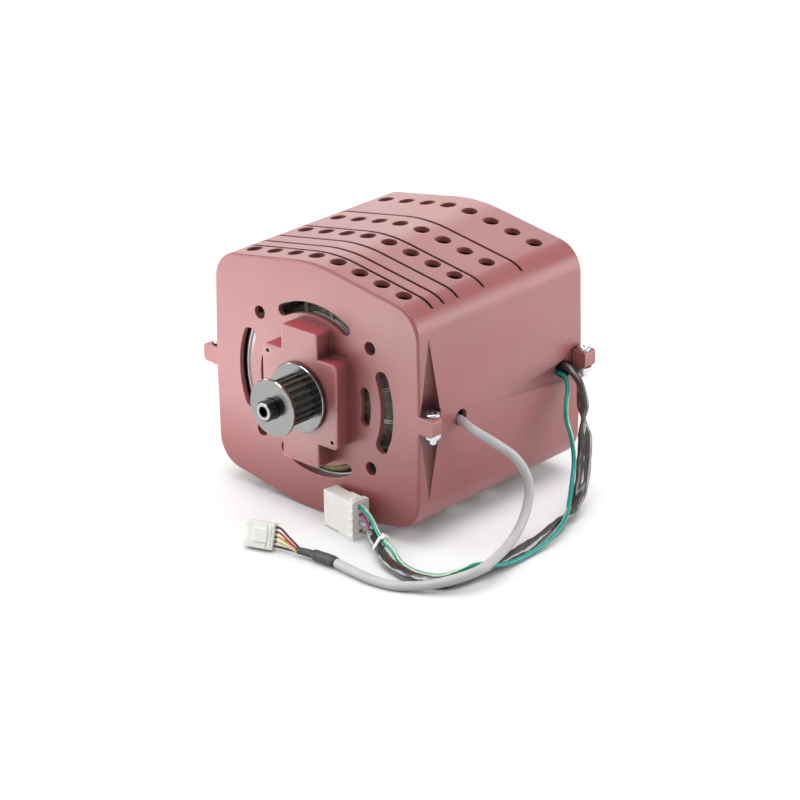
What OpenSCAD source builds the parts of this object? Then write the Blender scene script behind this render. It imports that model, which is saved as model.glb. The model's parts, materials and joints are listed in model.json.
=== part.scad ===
// Drive motor unit of an elevator door operator
// Origin on the shaft axis at the front mounting face: +X right, +Y to the rear, +Z up

/* [Housing] */
// Width across the side walls at the split plane
housing_w = 174.6; // [160:0.1:200]
// Depth from the front face to the rear face
housing_d = 157; // [140:0.5:190]
// Height of each ridge from the shaft axis
ridge_h = 84; // [78:0.5:100]
// Slope of the roof faces in degrees
roof_slope = 9.5; // [6:0.5:14]
// Radius of the rounded ridge
ridge_r = 110; // [80:1:160]
// Radius of the long edges between roof and side walls
edge_r = 20; // [12:0.5:28]
// Draft of the side walls in degrees
side_draft = 1.35; // [0.5:0.05:3]
// Rounding of the front and rear perimeter
rim_r = 1.8; // [1:0.1:3]
// Thickness of the roof and the side walls
wall = 3.5; // [2.5:0.1:5]
// Thickness of the front and rear walls
end_wall = 3.5; // [3:0.1:5]
// Width of the flat land on the bottom ridge
land_w = 24; // [16:1:34]

/* [Vents] */
// Diameter of the roof vents
vent_d = 10.6; // [7:0.1:12]
// Distance between vents in a row
vent_pitch = 18; // [14:0.5:19]
// Vents in a row
vent_count = 8; // [4:2:8]
// Front row from the front face
vent_front = 13.3; // [11:0.1:16]
// Rear row from the rear face
vent_rear = 20; // [14:0.5:24]
// Distance between the two middle rows
vent_gap = 30.5; // [26:0.5:34]
// Shift of the two middle rows from the middle of the depth
vent_shift = -3.1; // [-6:0.1:0]
// Width of the roof grooves
groove_w = 2.4; // [1:0.1:2.6]
// Depth of the roof grooves
groove_depth = 2.2; // [0.6:0.1:2.4]
// Height at which the grooves run out
groove_end = 68.5; // [66:0.5:74]

/* [Front face] */
// Distance between fixing holes across
fix_x = 93.4; // [84:0.2:96]
// Distance between fixing holes up and down
fix_z = 80.2; // [76:0.2:90]
// Diameter of the fixing holes
fix_d = 8.8; // [5:0.1:9.4]
// Middle radius of the top and bottom slots
slot_r = 53.8; // [52:0.1:55]
// Width of the top and bottom slots
slot_w = 7.8; // [5:0.1:9]
// Half angle of the top and bottom slots
slot_angle = 29.5; // [18:0.5:31]
// Middle radius of the side slots
side_slot_r = 60.4; // [59:0.1:62]
// Width of the side slots
side_slot_w = 10.4; // [6:0.1:11]
// Half angle of the side slots
side_slot_angle = 21.5; // [14:0.5:23]
// Middle radius of the short inner slots
inner_slot_r = 43; // [42:0.1:45]
// Half angle of the short inner slots
inner_slot_angle = 12.3; // [8:0.1:15]

/* [Bearing boss] */
// Projection of the boss from the front face
boss_h = 14; // [12.5:0.5:15]
// Width of the wide part of the boss
boss_w = 63; // [56:0.5:66]
// Height of the wide part of the boss
boss_mid = 57; // [50:0.5:60]
// Width of the narrow part of the boss
boss_neck = 30.6; // [24:0.2:36]
// Overall height of the boss
boss_tall = 90; // [80:0.5:92]
// Rounding of the boss front edge
boss_edge = 0.9; // [0.5:0.1:1.5]
// Lip that keeps the front bearing in
boss_lip = 3; // [2:0.1:3.4]

/* [Lugs] */
// Projection of the lugs from the side walls
lug_l = 10.8; // [10.6:0.1:12]
// Height of each half lug
lug_h = 5.75; // [4:0.05:7]
// Height of the screw seats sunk into the upper lugs
seat_h = 4.3; // [3.6:0.1:5]
// Diameter of the housing screws
screw_d = 5; // [4:0.1:5]
// Length of the housing screws under the head
screw_len = 17.2; // [16.8:0.1:22]
// Radius of the screwdriver recess at the lug
recess_r = 9.3; // [8:0.1:9.6]
// Height of the upper recess tip above the shaft axis
recess_tip = 54; // [44:0.5:56]

/* [Motor] */
// Outer radius of the stator can
can_r = 64; // [62:0.1:65]
// Sheet thickness of the stator can
can_t = 1.5; // [1:0.1:2]
// Gap between the front wall and the can
can_gap = 1; // [0.6:0.1:2]
// Free depth between the can and the rear face
can_rear = 31; // [30:0.5:36]
// Rear of the lamination stack from the rear face
stack_rear = 57; // [56.5:0.5:64]
// Front of the lamination stack from the front face
stack_front = 40; // [38:0.5:44]
// Radius of the stator bore
bore_r = 30.3; // [29:0.1:32]
// Air gap between rotor and stator
air_gap = 0.8; // [0.5:0.05:1.2]
// Thickness of the rotor magnets
magnet_t = 3.6; // [2.5:0.1:4.5]
// Number of rotor magnets
magnet_count = 8; // [6:2:10]
// Stator slots
stator_slots = 12; // [9:3:12]

/* [Shaft and bearings] */
// Bore of the ball bearings
bearing_d = 15; // [14.6:0.1:16]
// Outer diameter of the ball bearings
bearing_od = 35; // [34:0.1:36]
// Width of the ball bearings
bearing_w = 11; // [10:0.1:11.4]
// Diameter of the bearing balls
ball_d = 5.95; // [5:0.05:6.2]
// Balls in each bearing
ball_count = 8; // [6:1:8]
// Diameter of the shaft between the bearings
shaft_d = 20; // [18:0.5:22]
// Diameter of the shaft under the pulley
nose_d = 14; // [13:0.1:14.4]
// Diameter of the shaft tip in front of the pulley
tip_d = 13.4; // [11:0.1:14]
// Front end of the shaft from the front face
shaft_front = 46.5; // [44:0.5:52]
// Tapped hole in the shaft tip
tap_d = 6; // [4:0.1:6.8]
// Depth of the tapped hole
tap_depth = 14; // [10:0.5:20]

/* [Pulley] */
// Front of the pulley from the front face
pulley_front = 39; // [38.5:0.5:41]
// Width between the flanges
belt_w = 20; // [14:0.5:20]
// Teeth of the pulley
tooth_count = 20; // [16:1:22]
// Pitch of the belt teeth
tooth_pitch = 5; // [4.6:0.1:5.2]
// Diameter of the front flange
front_flange_d = 37.4; // [35:0.2:42]
// Diameter of the rear flange
rear_flange_d = 45.4; // [40:0.2:48]
// Thickness of the flanges
flange_t = 1.8; // [1.2:0.1:2.2]
// Width of the pulley key
key_w = 5; // [4:0.1:5.5]

/* [Encoder] */
// Diameter of the encoder disc
disc_d = 44; // [36:0.5:50]
// Diameter of the encoder board
board_d = 76; // [70:0.5:84]
// Thickness of the encoder board
board_t = 1.6; // [1:0.1:2]

/* [Cables] */
// Diameter of the encoder cable
cable_d = 6; // [5:0.1:6.2]
// Diameter of the power sleeve
sleeve_d = 7; // [6:0.1:7.2]
// Diameter of the earth wire
earth_d = 3; // [2:0.1:3.2]
// Diameter of the thin leads
lead_d = 1.4; // [1:0.1:1.6]
// Diameter of the power leads
power_lead_d = 2; // [1.2:0.1:2.4]
// Diameter of the front cable hole
front_hole_d = 10.6; // [9:0.1:11]
// Diameter of the rear cable hole
rear_hole_d = 11.6; // [11:0.1:12]

/* [Hidden] */
$fn = 48;

// Clearances
fit = 0.02;
seat_gap = 0.2;
face_gap = 0.2;
ball_gap = 0.08;
over = 1;

// Housing values
half_w = housing_w / 2;
burgundy = [0.60, 0.24, 0.25];
steel = [0.75, 0.76, 0.78];
can_front = end_wall + can_gap;
can_len = housing_d - can_rear - can_front;
rib_t = 4;
rib_inset = 26;
rib_rows = [can_front + rib_inset, can_front + can_len - rib_inset];
recess_wall = 2.5;
corner_steps = 10;
ridge_steps = 8;
rim_steps = 4;
slot_steps = 14;
cap_steps = 8;
vent_mid = housing_d / 2 + vent_shift;
vent_rows = [vent_front, vent_mid - vent_gap / 2, vent_mid + vent_gap / 2, housing_d - vent_rear];
groove_from = [0, 0, 1, 1, 2];
groove_step = [7.2, 17.7, -16, 8, 14.4];
groove_rows = [for (i = [0:len(groove_from) - 1]) vent_rows[groove_from[i]] + groove_step[i]];
dimple_y = vent_rows[2] - 10.7;
dimple_d = 3;

// Corner arc centre, tangent to the side wall and the roof
side_reach = half_w * cos(side_draft) - edge_r;
roof_reach = (ridge_h - ridge_r) * cos(roof_slope) + ridge_r - edge_r;
corner_den = cos(side_draft + roof_slope);
corner_c = [
    (side_reach * cos(roof_slope) - roof_reach * sin(side_draft)) / corner_den,
    (roof_reach * cos(side_draft) - side_reach * sin(roof_slope)) / corner_den
];
ridge_c = [0, ridge_h - ridge_r];
land_angle = asin(land_w / 2 / ridge_r);
floor_z = -(ridge_c[1] + ridge_r * cos(land_angle));

// Small holes in the corners of the boss face
boss_pin_in = 4.6;
boss_pin_d = 3;
boss_pin_depth = 4;

// Lug values
front_lug_flat = 8;
front_lug_len = 2 * recess_r + 0.8;
rear_lug_len = 10.3;
recess_y = recess_r + 0.4;
front_screw = [half_w + 3.7, 7.6];
rear_screw = [half_w + 5.5, housing_d - rear_lug_len / 2];
lug_round = [2, 3];
seat_d = 9.4;
screw_head_d = 8.8;
screw_head_h = 3.4;
screw_clear = 0.5;
head_round = 1.6;
screw_point = 0.8;
cross_len = 4.6;
cross_w = 1;
cross_depth = 1.6;
nut_flange_d = 10.4;
nut_flange_h = 2.6;
nut_af = 8;
nut_h = 3.6;
thread_gap = 0.05;

// Cable holes and the scoop that leads to the rear one
front_hole = [38.5, -6.3];
rear_y = housing_d - 16;
rear_hole = [rear_y, -6.6];
scoop_start = rear_y - 71;
scoop_r = 9;
scoop_depth = 5;

// Axial layout of the bearings
front_bearing_y = boss_lip - boss_h;
shaft_clear = 3.5;
cage_t = 1.2;
cage_w = 4;
rear_seat_y = housing_d - end_wall;
spring_t = 1;
rear_bearing_y = rear_seat_y - spring_t - bearing_w;
seat_wall = 5;
seat_depth = bearing_w + spring_t + 1;
bearing_r = bearing_d / 2;
bearing_or = bearing_od / 2;
ring_t = 2.9;
race_r = (bearing_r + bearing_or) / 2;
race_groove = ball_d / 2 + ball_gap;

// Stator and rotor
can_in = can_r - can_t;
notch_gap = 1.6;
notch_depth = 8;
stack_len = housing_d - stack_rear - stack_front;
core_r = can_in - seat_gap;
back_iron = 14;
slot_in = bore_r + 3;
slot_out = core_r - back_iron;
slot_half = 200 / stator_slots / 2;
slot_mouth = 2.6;
head_in = slot_in + 0.6;
head_over = 4;
head_out = slot_out + head_over;
head_len = 25;
head_edge = 5;
side_over = 2;
insulation = 0.4;
magnet_r = bore_r - air_gap;
rotor_r = magnet_r - magnet_t;
magnet_share = 0.88;

// Pulley values
tooth_pitch_r = tooth_count * tooth_pitch / 2 / PI;
barrel_r = tooth_pitch_r - 0.55;
groove_r = tooth_pitch * 0.31;
spigot_r = barrel_r - 2 * groove_r + 0.4;
pulley_rear = pulley_front - belt_w - 2 * flange_t;
flange_edge = 0.4;
flange_bore = tip_d / 2 + 0.4;
key_len = 14;
key_depth = 2.4;

// Encoder values
hub_len = 7;
hub_r = shaft_d / 2 + 4;
disc_t = 1;
board_y = rear_seat_y - seat_depth - 1 - board_t;
sensor_t = 3;
sensor_w = 8;
sensor_gap = 0.4;
sensor_over = 6;
disc_y = board_y - sensor_t - sensor_gap - disc_t;
hub_step = 2;
hub_lip = 1;
post_at = 24;
post_r = 4;
post_screw_d = 3;
post_screw_len = 8;
post_head_h = 1.8;

// Cable routes, from the housing to the far end
grey_route = [
    [77, 39, -8.2], [87, 38, -8.2], [97, 34, -8.5], [106, 35, -11.5], [113, 41, -17.5],
    [118, 51, -27], [121, 59, -39], [123.5, 61, -51], [126, 56, -62], [131, 43, -69.5],
    [139, 22, -72], [147, 0, -70.3], [149, -15, -71], [143.5, -28, -73.5], [135, -37, -76.5],
    [125, -44, -79], [112, -51.5, -80.2], [97, -54.5, -80.2], [82, -54, -80], [66, -52.8, -79.4]
];
sleeve_route = [
    [78, rear_y + 1.4, -5.4], [90, rear_y + 1.4, -5.6], [98.5, rear_y - 0.2, -12.5],
    [103.5, rear_y - 3, -23], [107, rear_y - 6, -35], [111, rear_y - 9.5, -47], [115, rear_y - 15, -58],
    [120, rear_y - 23, -69], [126, rear_y - 37, -77.5], [131.5, 86, -79.8],
    [136, 66, -79.8], [138.5, 46, -79.8], [139, 26, -79.8], [139.5, 7, -79.8], [139, -12, -79.8],
    [135, -27, -79.8], [124, -35, -79.8], [110, -36.5, -79.8], [95, -33.5, -79.8], [84, -29, -79.3],
    [72.5, -22.3, -78], [63, -16.8, -76.6]
];
earth_route = [
    [78, rear_y - 2.6, -9.6], [88, rear_y - 2.6, -10], [94, rear_y - 6.5, -16], [99, rear_y - 14, -22],
    [103, rear_y - 18.5, -31], [107.5, rear_y - 18.5, -43], [112, rear_y - 21.5, -56],
    [117.5, rear_y - 30, -66.5], [126, rear_y - 43, -72.4], [135, rear_y - 57, -75],
    [141, 68, -77.5], [143.7, 53, -79.8], [144.3, 37, -81], [145, 20, -80], [145, 4, -76.5],
    [139, -7, -73.6], [131.5, -15, -77.8], [122, -22.3, -81.5], [109, -26.5, -81.8], [95, -25.7, -80.5],
    [84, -22.5, -75.5], [74, -19.7, -73.6], [66, -15.6, -71.6], [59, -13.2, -66.4]
];
cable_sides = 10;
wire_sides = 8;

// Heat-shrink end
shrink_route = [
    [65.5, -52.8, -79.4], [63, -52.7, -79.3], [49, -53.5, -79.2], [46, -53.9, -79.2], [37, -56, -79]
];
shrink_radii = [3.3, 4, 4, 2.9, 2.8];

// Encoder connector, standing on its lower rear edge
plug_len = 18;
plug_h = 16.5;
plug_t = 7;
plug_turn = 19;
plug_lean = 20;
plug_at = [4.6, -70, floor_z + plug_t * sin(plug_lean)];
plug_wall = 1.2;
plug_mouth = 5;
cell_gap = 0.15;
cell_depth = 6;
lead_seat = 3;
lead_count = 5;
lead_pitch = 2.9;
lead_zigzag = 0.75;
lead_rise = 0.9;
lead_reach = 2.5;
cord_gap = 0.8;

// Power connector, standing on its long side
socket_len = 31;
socket_h = 25.5;
socket_t = 11.5;
socket_turn = -9;
socket_at = [17.2, -12.8, floor_z];
socket_step = 0.6;
socket_wall = 2.2;
socket_mouth = 8;
socket_rim = 4;
socket_rim_out = 0.8;
power_rows = [5.5, 11, 16.5];
power_spread = [[0, 0, -1.8], [0, 1.4, 0.8], [0, -1.4, 0.9]];
earth_row = 22;

// Tie band round the sleeve and the earth wire
tie_c = [73, -21.5, -76.7];
tie_turn = -30;
tie_r = 6.5;
tie_band = 0.9;
tie_w = 3.2;
tie_head = [2.6, 4.8, 4.4];

// Points of an arc
function arc(c, r, a0, a1, n) =
    [for (i = [0:n]) let (a = a0 + (a1 - a0) * i / n) [c[0] + r * cos(a), c[1] + r * sin(a)]];

// Mirror a run of points across the upright axis and turn its order
function mirrored(pts) = [for (i = [len(pts) - 1:-1:0]) [-pts[i][0], pts[i][1]]];

// Right half of a shell outline set in by some amount, from the split plane to the ridge
function outline_side(inset, flat, foot) =
    let (stop = flat ? 90 - land_angle : 90 - roof_slope / ridge_steps)
    concat(
        [[half_w - inset / cos(side_draft), foot]],
        arc(corner_c, edge_r - inset, side_draft, 90 - roof_slope, corner_steps),
        arc(ridge_c, ridge_r - inset, 90 - roof_slope, stop, ridge_steps)
    );

// Whole shell outline above the split plane
function outline(inset, flat, foot = 0) =
    let (side = outline_side(inset, flat, foot)) concat(side, mirrored(side));

// Right half of the boss outline, from the split plane to the top
function boss_side(inset) =
    let (w = boss_w / 2, m = boss_mid / 2, n = boss_neck / 2, t = boss_tall / 2, r = 4, q = 2)
    concat(
        [[w - inset, 0]],
        arc([w - r, m - r], r - inset, 0, 90, 4),
        [[n - inset, m - inset]],
        arc([n - q, t - q], q - inset, 0, 90, 3)
    );

// Place flat points at a depth
function at_depth(pts, y) = [for (p = pts) [p[0], y, p[1]]];

// Skin between rings of equal point count, closed at both ends by fans from each ring's first point
module loft(rings) {
    n = len(rings[0]);
    last = len(rings) - 1;
    polyhedron(
        points = [for (ring = rings) each ring],
        faces = concat(
            [[for (i = [n:-1:1]) i % n]],
            [for (j = [0:last - 1]) for (i = [0:n - 1])
                [j * n + i, j * n + (i + 1) % n, (j + 1) * n + (i + 1) % n, (j + 1) * n + i]],
            [[for (i = [0:n - 1]) last * n + i]]
        )
    );
}

// Directions along a route
function unit(v) = v / norm(v);
function headings(route) =
    let (last = len(route) - 1)
    [for (i = [0:last]) unit(route[min(i + 1, last)] - route[max(i - 1, 0)])];

// Side vectors carried along a route without twist
function carried(dirs, side, k = 0) =
    k == len(dirs) ? [] :
    let (s = unit(side - (side * dirs[k]) * dirs[k]))
    concat([s], carried(dirs, s, k + 1));

// Round tube swept along a route, with one radius for each point
module tube(route, radii, sides) {
    dirs = headings(route);
    rights = carried(dirs, [0.1, 0.2, 1]);
    loft([for (k = [0:len(route) - 1])
        let (u = rights[k], v = cross(dirs[k], u))
        [for (i = [0:sides - 1])
            let (a = -360 * i / sides)
            route[k] + radii[k] * (cos(a) * u + sin(a) * v)]]);
}

// Tube of one radius
module cord(route, r, sides) {
    tube(route, [for (p = route) r], sides);
}

// Extrude a flat shape of X and Z between two depths
module along_y(y0, y1) {
    translate([0, y1, 0]) rotate([90, 0, 0]) linear_extrude(height = y1 - y0) children();
}

// Revolve a profile of radius and depth about the shaft axis
module turned(profile) {
    rotate([-90, 0, 0]) rotate_extrude($fn = 64) polygon(profile);
}

// Plain ring about the shaft axis
module ring(r_out, r_in, y0, y1) {
    turned([[r_in, y0], [r_out, y0], [r_out, y1], [r_in, y1]]);
}

// Cylinder along the depth
module bar_y(r, y0, y1) {
    translate([0, y0, 0]) rotate([-90, 0, 0]) cylinder(r = r, h = y1 - y0);
}

// Cone between two points
module cone_between(p, r0, q, r1) {
    d = q - p;
    translate(p)
        rotate([0, acos(d[2] / norm(d)), atan2(d[1], d[0])])
        cylinder(r1 = r0, r2 = r1, h = norm(d));
}

// Points of a round slot end, between the ends of its two long sides
function slot_cap(r, w, at, start) = [
    for (k = [1:cap_steps - 1])
        let (a = start + 180 * k / cap_steps)
        [r * cos(at) + w / 2 * cos(a), r * sin(at) + w / 2 * sin(a)]
];

// Flat slot along an arc about the shaft axis
module arc_slot(r, w, half_angle, turn) {
    rotate(turn) polygon(concat(
        arc([0, 0], r + w / 2, -half_angle, half_angle, slot_steps),
        slot_cap(r, w, half_angle, half_angle),
        arc([0, 0], r - w / 2, half_angle, -half_angle, slot_steps),
        slot_cap(r, w, -half_angle, 180 - half_angle)
    ));
}

// Repeat at the right and left of the housing
module both_sides() {
    children();
    mirror([1, 0, 0]) children();
}

// Repeat at the four lugs
module at_lugs() {
    both_sides() for (p = [front_screw, rear_screw]) translate([p[0], p[1], 0]) children();
}

// Outer skin of one half with rounded front and rear perimeter
module shell_skin(flat) {
    steps = [for (k = [0:rim_steps]) 90 * k / rim_steps];
    front = [for (t = steps) at_depth(outline(rim_r * (1 - sin(t)), flat), rim_r * (1 - cos(t)))];
    rear = [for (t = steps)
        at_depth(outline(rim_r * (1 - cos(t)), flat), housing_d - rim_r * (1 - sin(t)))];
    loft(concat(front, rear));
}

// Screwdriver recess beside a front lug, from its seat and grown by some amount
module recess(seat, grow) {
    lean = recess_tip * tan(side_draft);
    cone_between(
        [half_w, recess_y, grow > 0 ? -over : seat],
        recess_r + grow,
        [half_w - lean, recess_y, recess_tip + 2 * grow],
        grow + 0.05
    );
}

// Scoop along the right wall to the rear cable hole, grown by some amount
module scoop(grow) {
    cone_between(
        [half_w + grow, scoop_start - 4 * grow, rear_hole[1]],
        0.05 + grow,
        [half_w + scoop_r - scoop_depth, rear_hole[0] + grow, rear_hole[1]],
        scoop_r + grow
    );
}

// Turn a feature of the real housing into the half that is being made
module own_side(lower) {
    mirror([0, 0, lower ? 1 : 0]) children();
}

// Space inside one half, around its ribs and seats
module shell_space(lower) {
    inner = outline(wall, lower, -over);
    difference() {
        along_y(end_wall, rear_seat_y) polygon(inner);
        for (y = rib_rows) along_y(y - rib_t / 2, y + rib_t / 2) difference() {
            translate([-half_w, -2 * over]) square([housing_w, ridge_h]);
            circle(r = can_r + seat_gap, $fn = 96);
        }
        both_sides() recess(seat_h, recess_wall);
        own_side(lower) scoop(recess_wall);
        bar_y(bearing_or + seat_wall, rear_seat_y - seat_depth, rear_seat_y + over);
        both_sides() translate([post_at, 0, post_at]) bar_y(post_r, board_y + board_t, rear_seat_y + over);
    }
}

// Lugs of one half, rounded along their outer end
module half_lugs(lower) {
    r = lug_round[lower ? 1 : 0];
    root = half_w - wall;
    tip = half_w + lug_l;
    rear = housing_d - rear_lug_len;
    both_sides() intersection() {
        linear_extrude(height = lug_h) {
            polygon([
                [root, 0], [tip, 0], [tip, front_lug_flat],
                [half_w, front_lug_len], [root, front_lug_len]
            ]);
            translate([root, rear]) square([tip - root, rear_lug_len]);
        }
        along_y(-over, housing_d + over)
            polygon(concat([[root, 0], [tip, 0]], arc([tip - r, lug_h - r], r, 0, 90, 6), [[root, lug_h]]));
    }
}

// Boss outline above the split plane, set in by some amount, starting from the middle of its foot
function boss_outline(inset) =
    let (side = boss_side(inset)) concat([[0, 0]], side, mirrored(side));

// Half of the boss that carries the front bearing
module half_boss() {
    front = [for (t = [0, 45, 90])
        at_depth(boss_outline(boss_edge * (1 - sin(t))), -boss_h + boss_edge * (1 - cos(t)))];
    loft(concat(front, [at_depth(boss_outline(0), end_wall / 2)]));
}

// All cuts through one half
module half_cuts(lower) {
    for (y = vent_rows) for (i = [0:vent_count - 1])
        translate([(i - (vent_count - 1) / 2) * vent_pitch, y, ridge_h - 30]) cylinder(d = vent_d, h = 40);
    for (y = groove_rows) along_y(y - groove_w / 2, y + groove_w / 2) intersection() {
        difference() {
            polygon(outline(-over, lower));
            polygon(outline(groove_depth, lower, -over));
        }
        translate([-half_w, groove_end]) square([housing_w, ridge_h]);
    }
    both_sides() recess(lower ? lug_h : seat_h, 0);
    own_side(lower) scoop(0);
    at_lugs() translate([0, 0, -over]) cylinder(d = screw_d + screw_clear, h = lug_h + 2 * over);
    if (!lower) at_lugs() translate([0, 0, seat_h]) cylinder(d = seat_d, h = lug_h);
    both_sides() translate([fix_x / 2, 0, fix_z / 2]) bar_y(fix_d / 2, -over, end_wall + over);
    translate([(lower ? 1 : -1) * (boss_w / 2 - boss_pin_in), 0, boss_mid / 2 - boss_pin_in])
        bar_y(boss_pin_d / 2, -boss_h - over, boss_pin_depth - boss_h);
    both_sides() translate([post_at, 0, post_at])
        bar_y(post_screw_d / 2, board_y, board_y + board_t + post_screw_len);
    along_y(-over / 2, end_wall + over) {
        arc_slot(slot_r, slot_w, slot_angle, 90);
        for (turn = [0, 180]) arc_slot(side_slot_r, side_slot_w, side_slot_angle, turn);
        for (turn = [0, 180]) arc_slot(inner_slot_r, slot_w, inner_slot_angle, turn);
    }
    bar_y(bearing_or + fit, front_bearing_y, end_wall + over);
    bar_y(bearing_r + shaft_clear, -boss_h - over, front_bearing_y + over);
    bar_y(bearing_or + fit, rear_seat_y - seat_depth - over, rear_seat_y);
}

// One half of the housing, drawn as the upper one
module half_shell(lower) {
    difference() {
        union() {
            difference() {
                shell_skin(lower);
                shell_space(lower);
            }
            half_boss();
            half_lugs(lower);
        }
        half_cuts(lower);
    }
}

module upper_shell() {
    color(burgundy) difference() {
        half_shell(false);
        translate([0, dimple_y, ridge_h - groove_depth]) cylinder(d = dimple_d, h = 2 * over);
    }
}

module lower_shell() {
    hole_depth = wall + scoop_r + recess_wall;
    color(burgundy) difference() {
        mirror([0, 0, 1]) half_shell(true);
        for (hole = [[front_hole, front_hole_d], [rear_hole, rear_hole_d]])
            translate([half_w - hole_depth, hole[0][0], hole[0][1]])
            rotate([0, 90, 0]) cylinder(d = hole[1], h = hole_depth + over);
    }
}

// Pan-head screws that clamp the two halves
module housing_screws() {
    r = screw_d / 2;
    head_r = screw_head_d / 2;
    top = seat_h + screw_head_h;
    low = seat_h - screw_len;
    color(steel) at_lugs() difference() {
        rotate_extrude() polygon(concat(
            [[0, low], [r - screw_point / 2, low], [r, low + screw_point], [r, seat_h], [head_r, seat_h]],
            arc([head_r - head_round, top - head_round], head_round, 0, 90, 6),
            [[0, top]]
        ));
        for (turn = [45, 135]) rotate(turn) translate([0, 0, top])
            cube([cross_len, cross_w, 2 * cross_depth], center = true);
    }
}

// Flange nuts under the lugs
module housing_nuts() {
    color(steel) at_lugs() translate([0, 0, -lug_h - nut_h]) difference() {
        union() {
            translate([0, 0, nut_h - nut_flange_h]) cylinder(d = nut_flange_d, h = nut_flange_h);
            cylinder(d = nut_af / cos(30), h = nut_h, $fn = 6);
        }
        translate([0, 0, -over]) cylinder(d = screw_d + 2 * thread_gap, h = nut_h + 2 * over);
    }
}

// Rolled steel can round the stator, notched behind the fixing holes
module stator_can() {
    color(steel) difference() {
        ring(can_r, can_in, can_front, can_front + can_len);
        for (sx = [-1, 1]) for (sz = [-1, 1]) translate([sx * fix_x / 2, 0, sz * fix_z / 2])
            bar_y(fix_d / 2 + notch_gap, can_front - over, can_front + notch_depth);
    }
}

// One stator slot, set in by some amount
module slot_shape(inset) {
    half_in = slot_in * tan(slot_half) - inset / cos(slot_half);
    half_out = slot_out * tan(slot_half) - inset / cos(slot_half);
    polygon([[slot_in + inset, -half_in], [slot_out - inset, -half_out],
             [slot_out - inset, half_out], [slot_in + inset, half_in]]);
}

// Lamination stack with open slots
module stator_core() {
    color([0.45, 0.46, 0.48]) along_y(stack_front, stack_front + stack_len) difference() {
        circle(r = core_r, $fn = 96);
        circle(r = bore_r, $fn = 96);
        for (i = [0:stator_slots - 1]) rotate(360 * i / stator_slots) {
            slot_shape(0);
            translate([bore_r - over, -slot_mouth / 2]) square([slot_in - bore_r + 2 * over, slot_mouth]);
        }
    }
}

// Rounded winding head between two depths
module winding_head(y0, y1) {
    r = head_edge;
    turned(concat(
        arc([head_out - r, y1 - r], r, 0, 90, 4), arc([head_in + r, y1 - r], r, 90, 180, 4),
        arc([head_in + r, y0 + r], r, 180, 270, 4), arc([head_out - r, y0 + r], r, 270, 360, 4)
    ));
}

// Lacquered coils: both heads and the sides that lie in the slots
module phase_windings() {
    rear = stack_front + stack_len;
    color([0.08, 0.07, 0.07]) {
        winding_head(stack_front - head_len, stack_front - insulation);
        winding_head(rear + insulation, rear + head_len);
        along_y(stack_front - side_over, rear + side_over)
            for (i = [0:stator_slots - 1]) rotate(360 * i / stator_slots) slot_shape(insulation);
    }
}

// Race ring of a bearing with its ball groove
module race(r_in, r_out, y) {
    color(steel) difference() {
        ring(r_out, r_in, y, y + bearing_w);
        translate([0, y + bearing_w / 2, 0]) rotate([90, 0, 0])
            rotate_extrude($fn = 64) translate([race_r, 0]) circle(r = race_groove);
    }
}

// Balls in their riveted cage
module ball_set(y) {
    mid = y + bearing_w / 2;
    color([0.85, 0.86, 0.88]) {
        for (i = [0:ball_count - 1]) rotate([0, 360 * i / ball_count, 0])
            translate([race_r, mid, 0]) sphere(d = ball_d);
        ring(race_r + cage_t / 2, race_r - cage_t / 2, mid - cage_w / 2, mid + cage_w / 2);
    }
}

module front_bearing_outer() {
    race(bearing_or - ring_t, bearing_or, front_bearing_y);
}

module front_bearing_inner() {
    race(bearing_r, bearing_r + ring_t, front_bearing_y);
}

module front_bearing_balls() {
    ball_set(front_bearing_y);
}

module rear_bearing_outer() {
    race(bearing_or - ring_t, bearing_or, rear_bearing_y);
}

module rear_bearing_inner() {
    race(bearing_r, bearing_r + ring_t, rear_bearing_y);
}

module rear_bearing_balls() {
    ball_set(rear_bearing_y);
}

// Spring washer that loads the rear bearing
module preload_spring() {
    color([0.5, 0.52, 0.55])
        ring(bearing_or - 0.3, bearing_or - 4, rear_seat_y - spring_t + 0.05, rear_seat_y - 0.05);
}

// Stepped shaft with chamfered tip, tapped end and keyway
module motor_shaft() {
    body_front = front_bearing_y + bearing_w + face_gap;
    body_rear = rear_bearing_y - face_gap;
    color([0.12, 0.12, 0.13]) difference() {
        turned([
            [0, -shaft_front], [tip_d / 2 - 1.3, -shaft_front], [tip_d / 2, -shaft_front + 1.1],
            [tip_d / 2, -pulley_front], [nose_d / 2, -pulley_front], [nose_d / 2, -pulley_rear],
            [bearing_r - fit, -pulley_rear], [bearing_r - fit, body_front],
            [shaft_d / 2, body_front], [shaft_d / 2, body_rear],
            [bearing_r - fit, body_rear], [bearing_r - fit, rear_seat_y - 1], [0, rear_seat_y - 1]
        ]);
        bar_y(tap_d / 2, -shaft_front - over, -shaft_front + tap_depth);
        key_space(fit);
    }
}

// Space taken by the key and its clearance
module key_space(gap) {
    mid = (pulley_front + pulley_rear) / 2;
    translate([-key_w / 2 - gap, -mid - key_len / 2 - gap, nose_d / 2 - key_depth - gap])
        cube([key_w + 2 * gap, key_len + 2 * gap, 2 * key_depth + 2 * gap]);
}

module pulley_key() {
    color([0.3, 0.3, 0.32]) key_space(0);
}

// Laminated rotor on the shaft
module rotor_core() {
    color([0.42, 0.43, 0.45])
        ring(rotor_r - fit, shaft_d / 2 + fit, stack_front, stack_front + stack_len);
}

// Surface magnets, each an arc segment
module rotor_magnets() {
    half = 180 / magnet_count * magnet_share;
    far = 2 * magnet_r;
    color([0.25, 0.25, 0.27]) along_y(stack_front, stack_front + stack_len)
        for (i = [0:magnet_count - 1]) rotate(360 * i / magnet_count) intersection() {
            difference() {
                circle(r = magnet_r, $fn = 96);
                circle(r = rotor_r, $fn = 96);
            }
            polygon([[0, 0], [far, -far * tan(half)], [far, far * tan(half)]]);
        }
}

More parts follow.
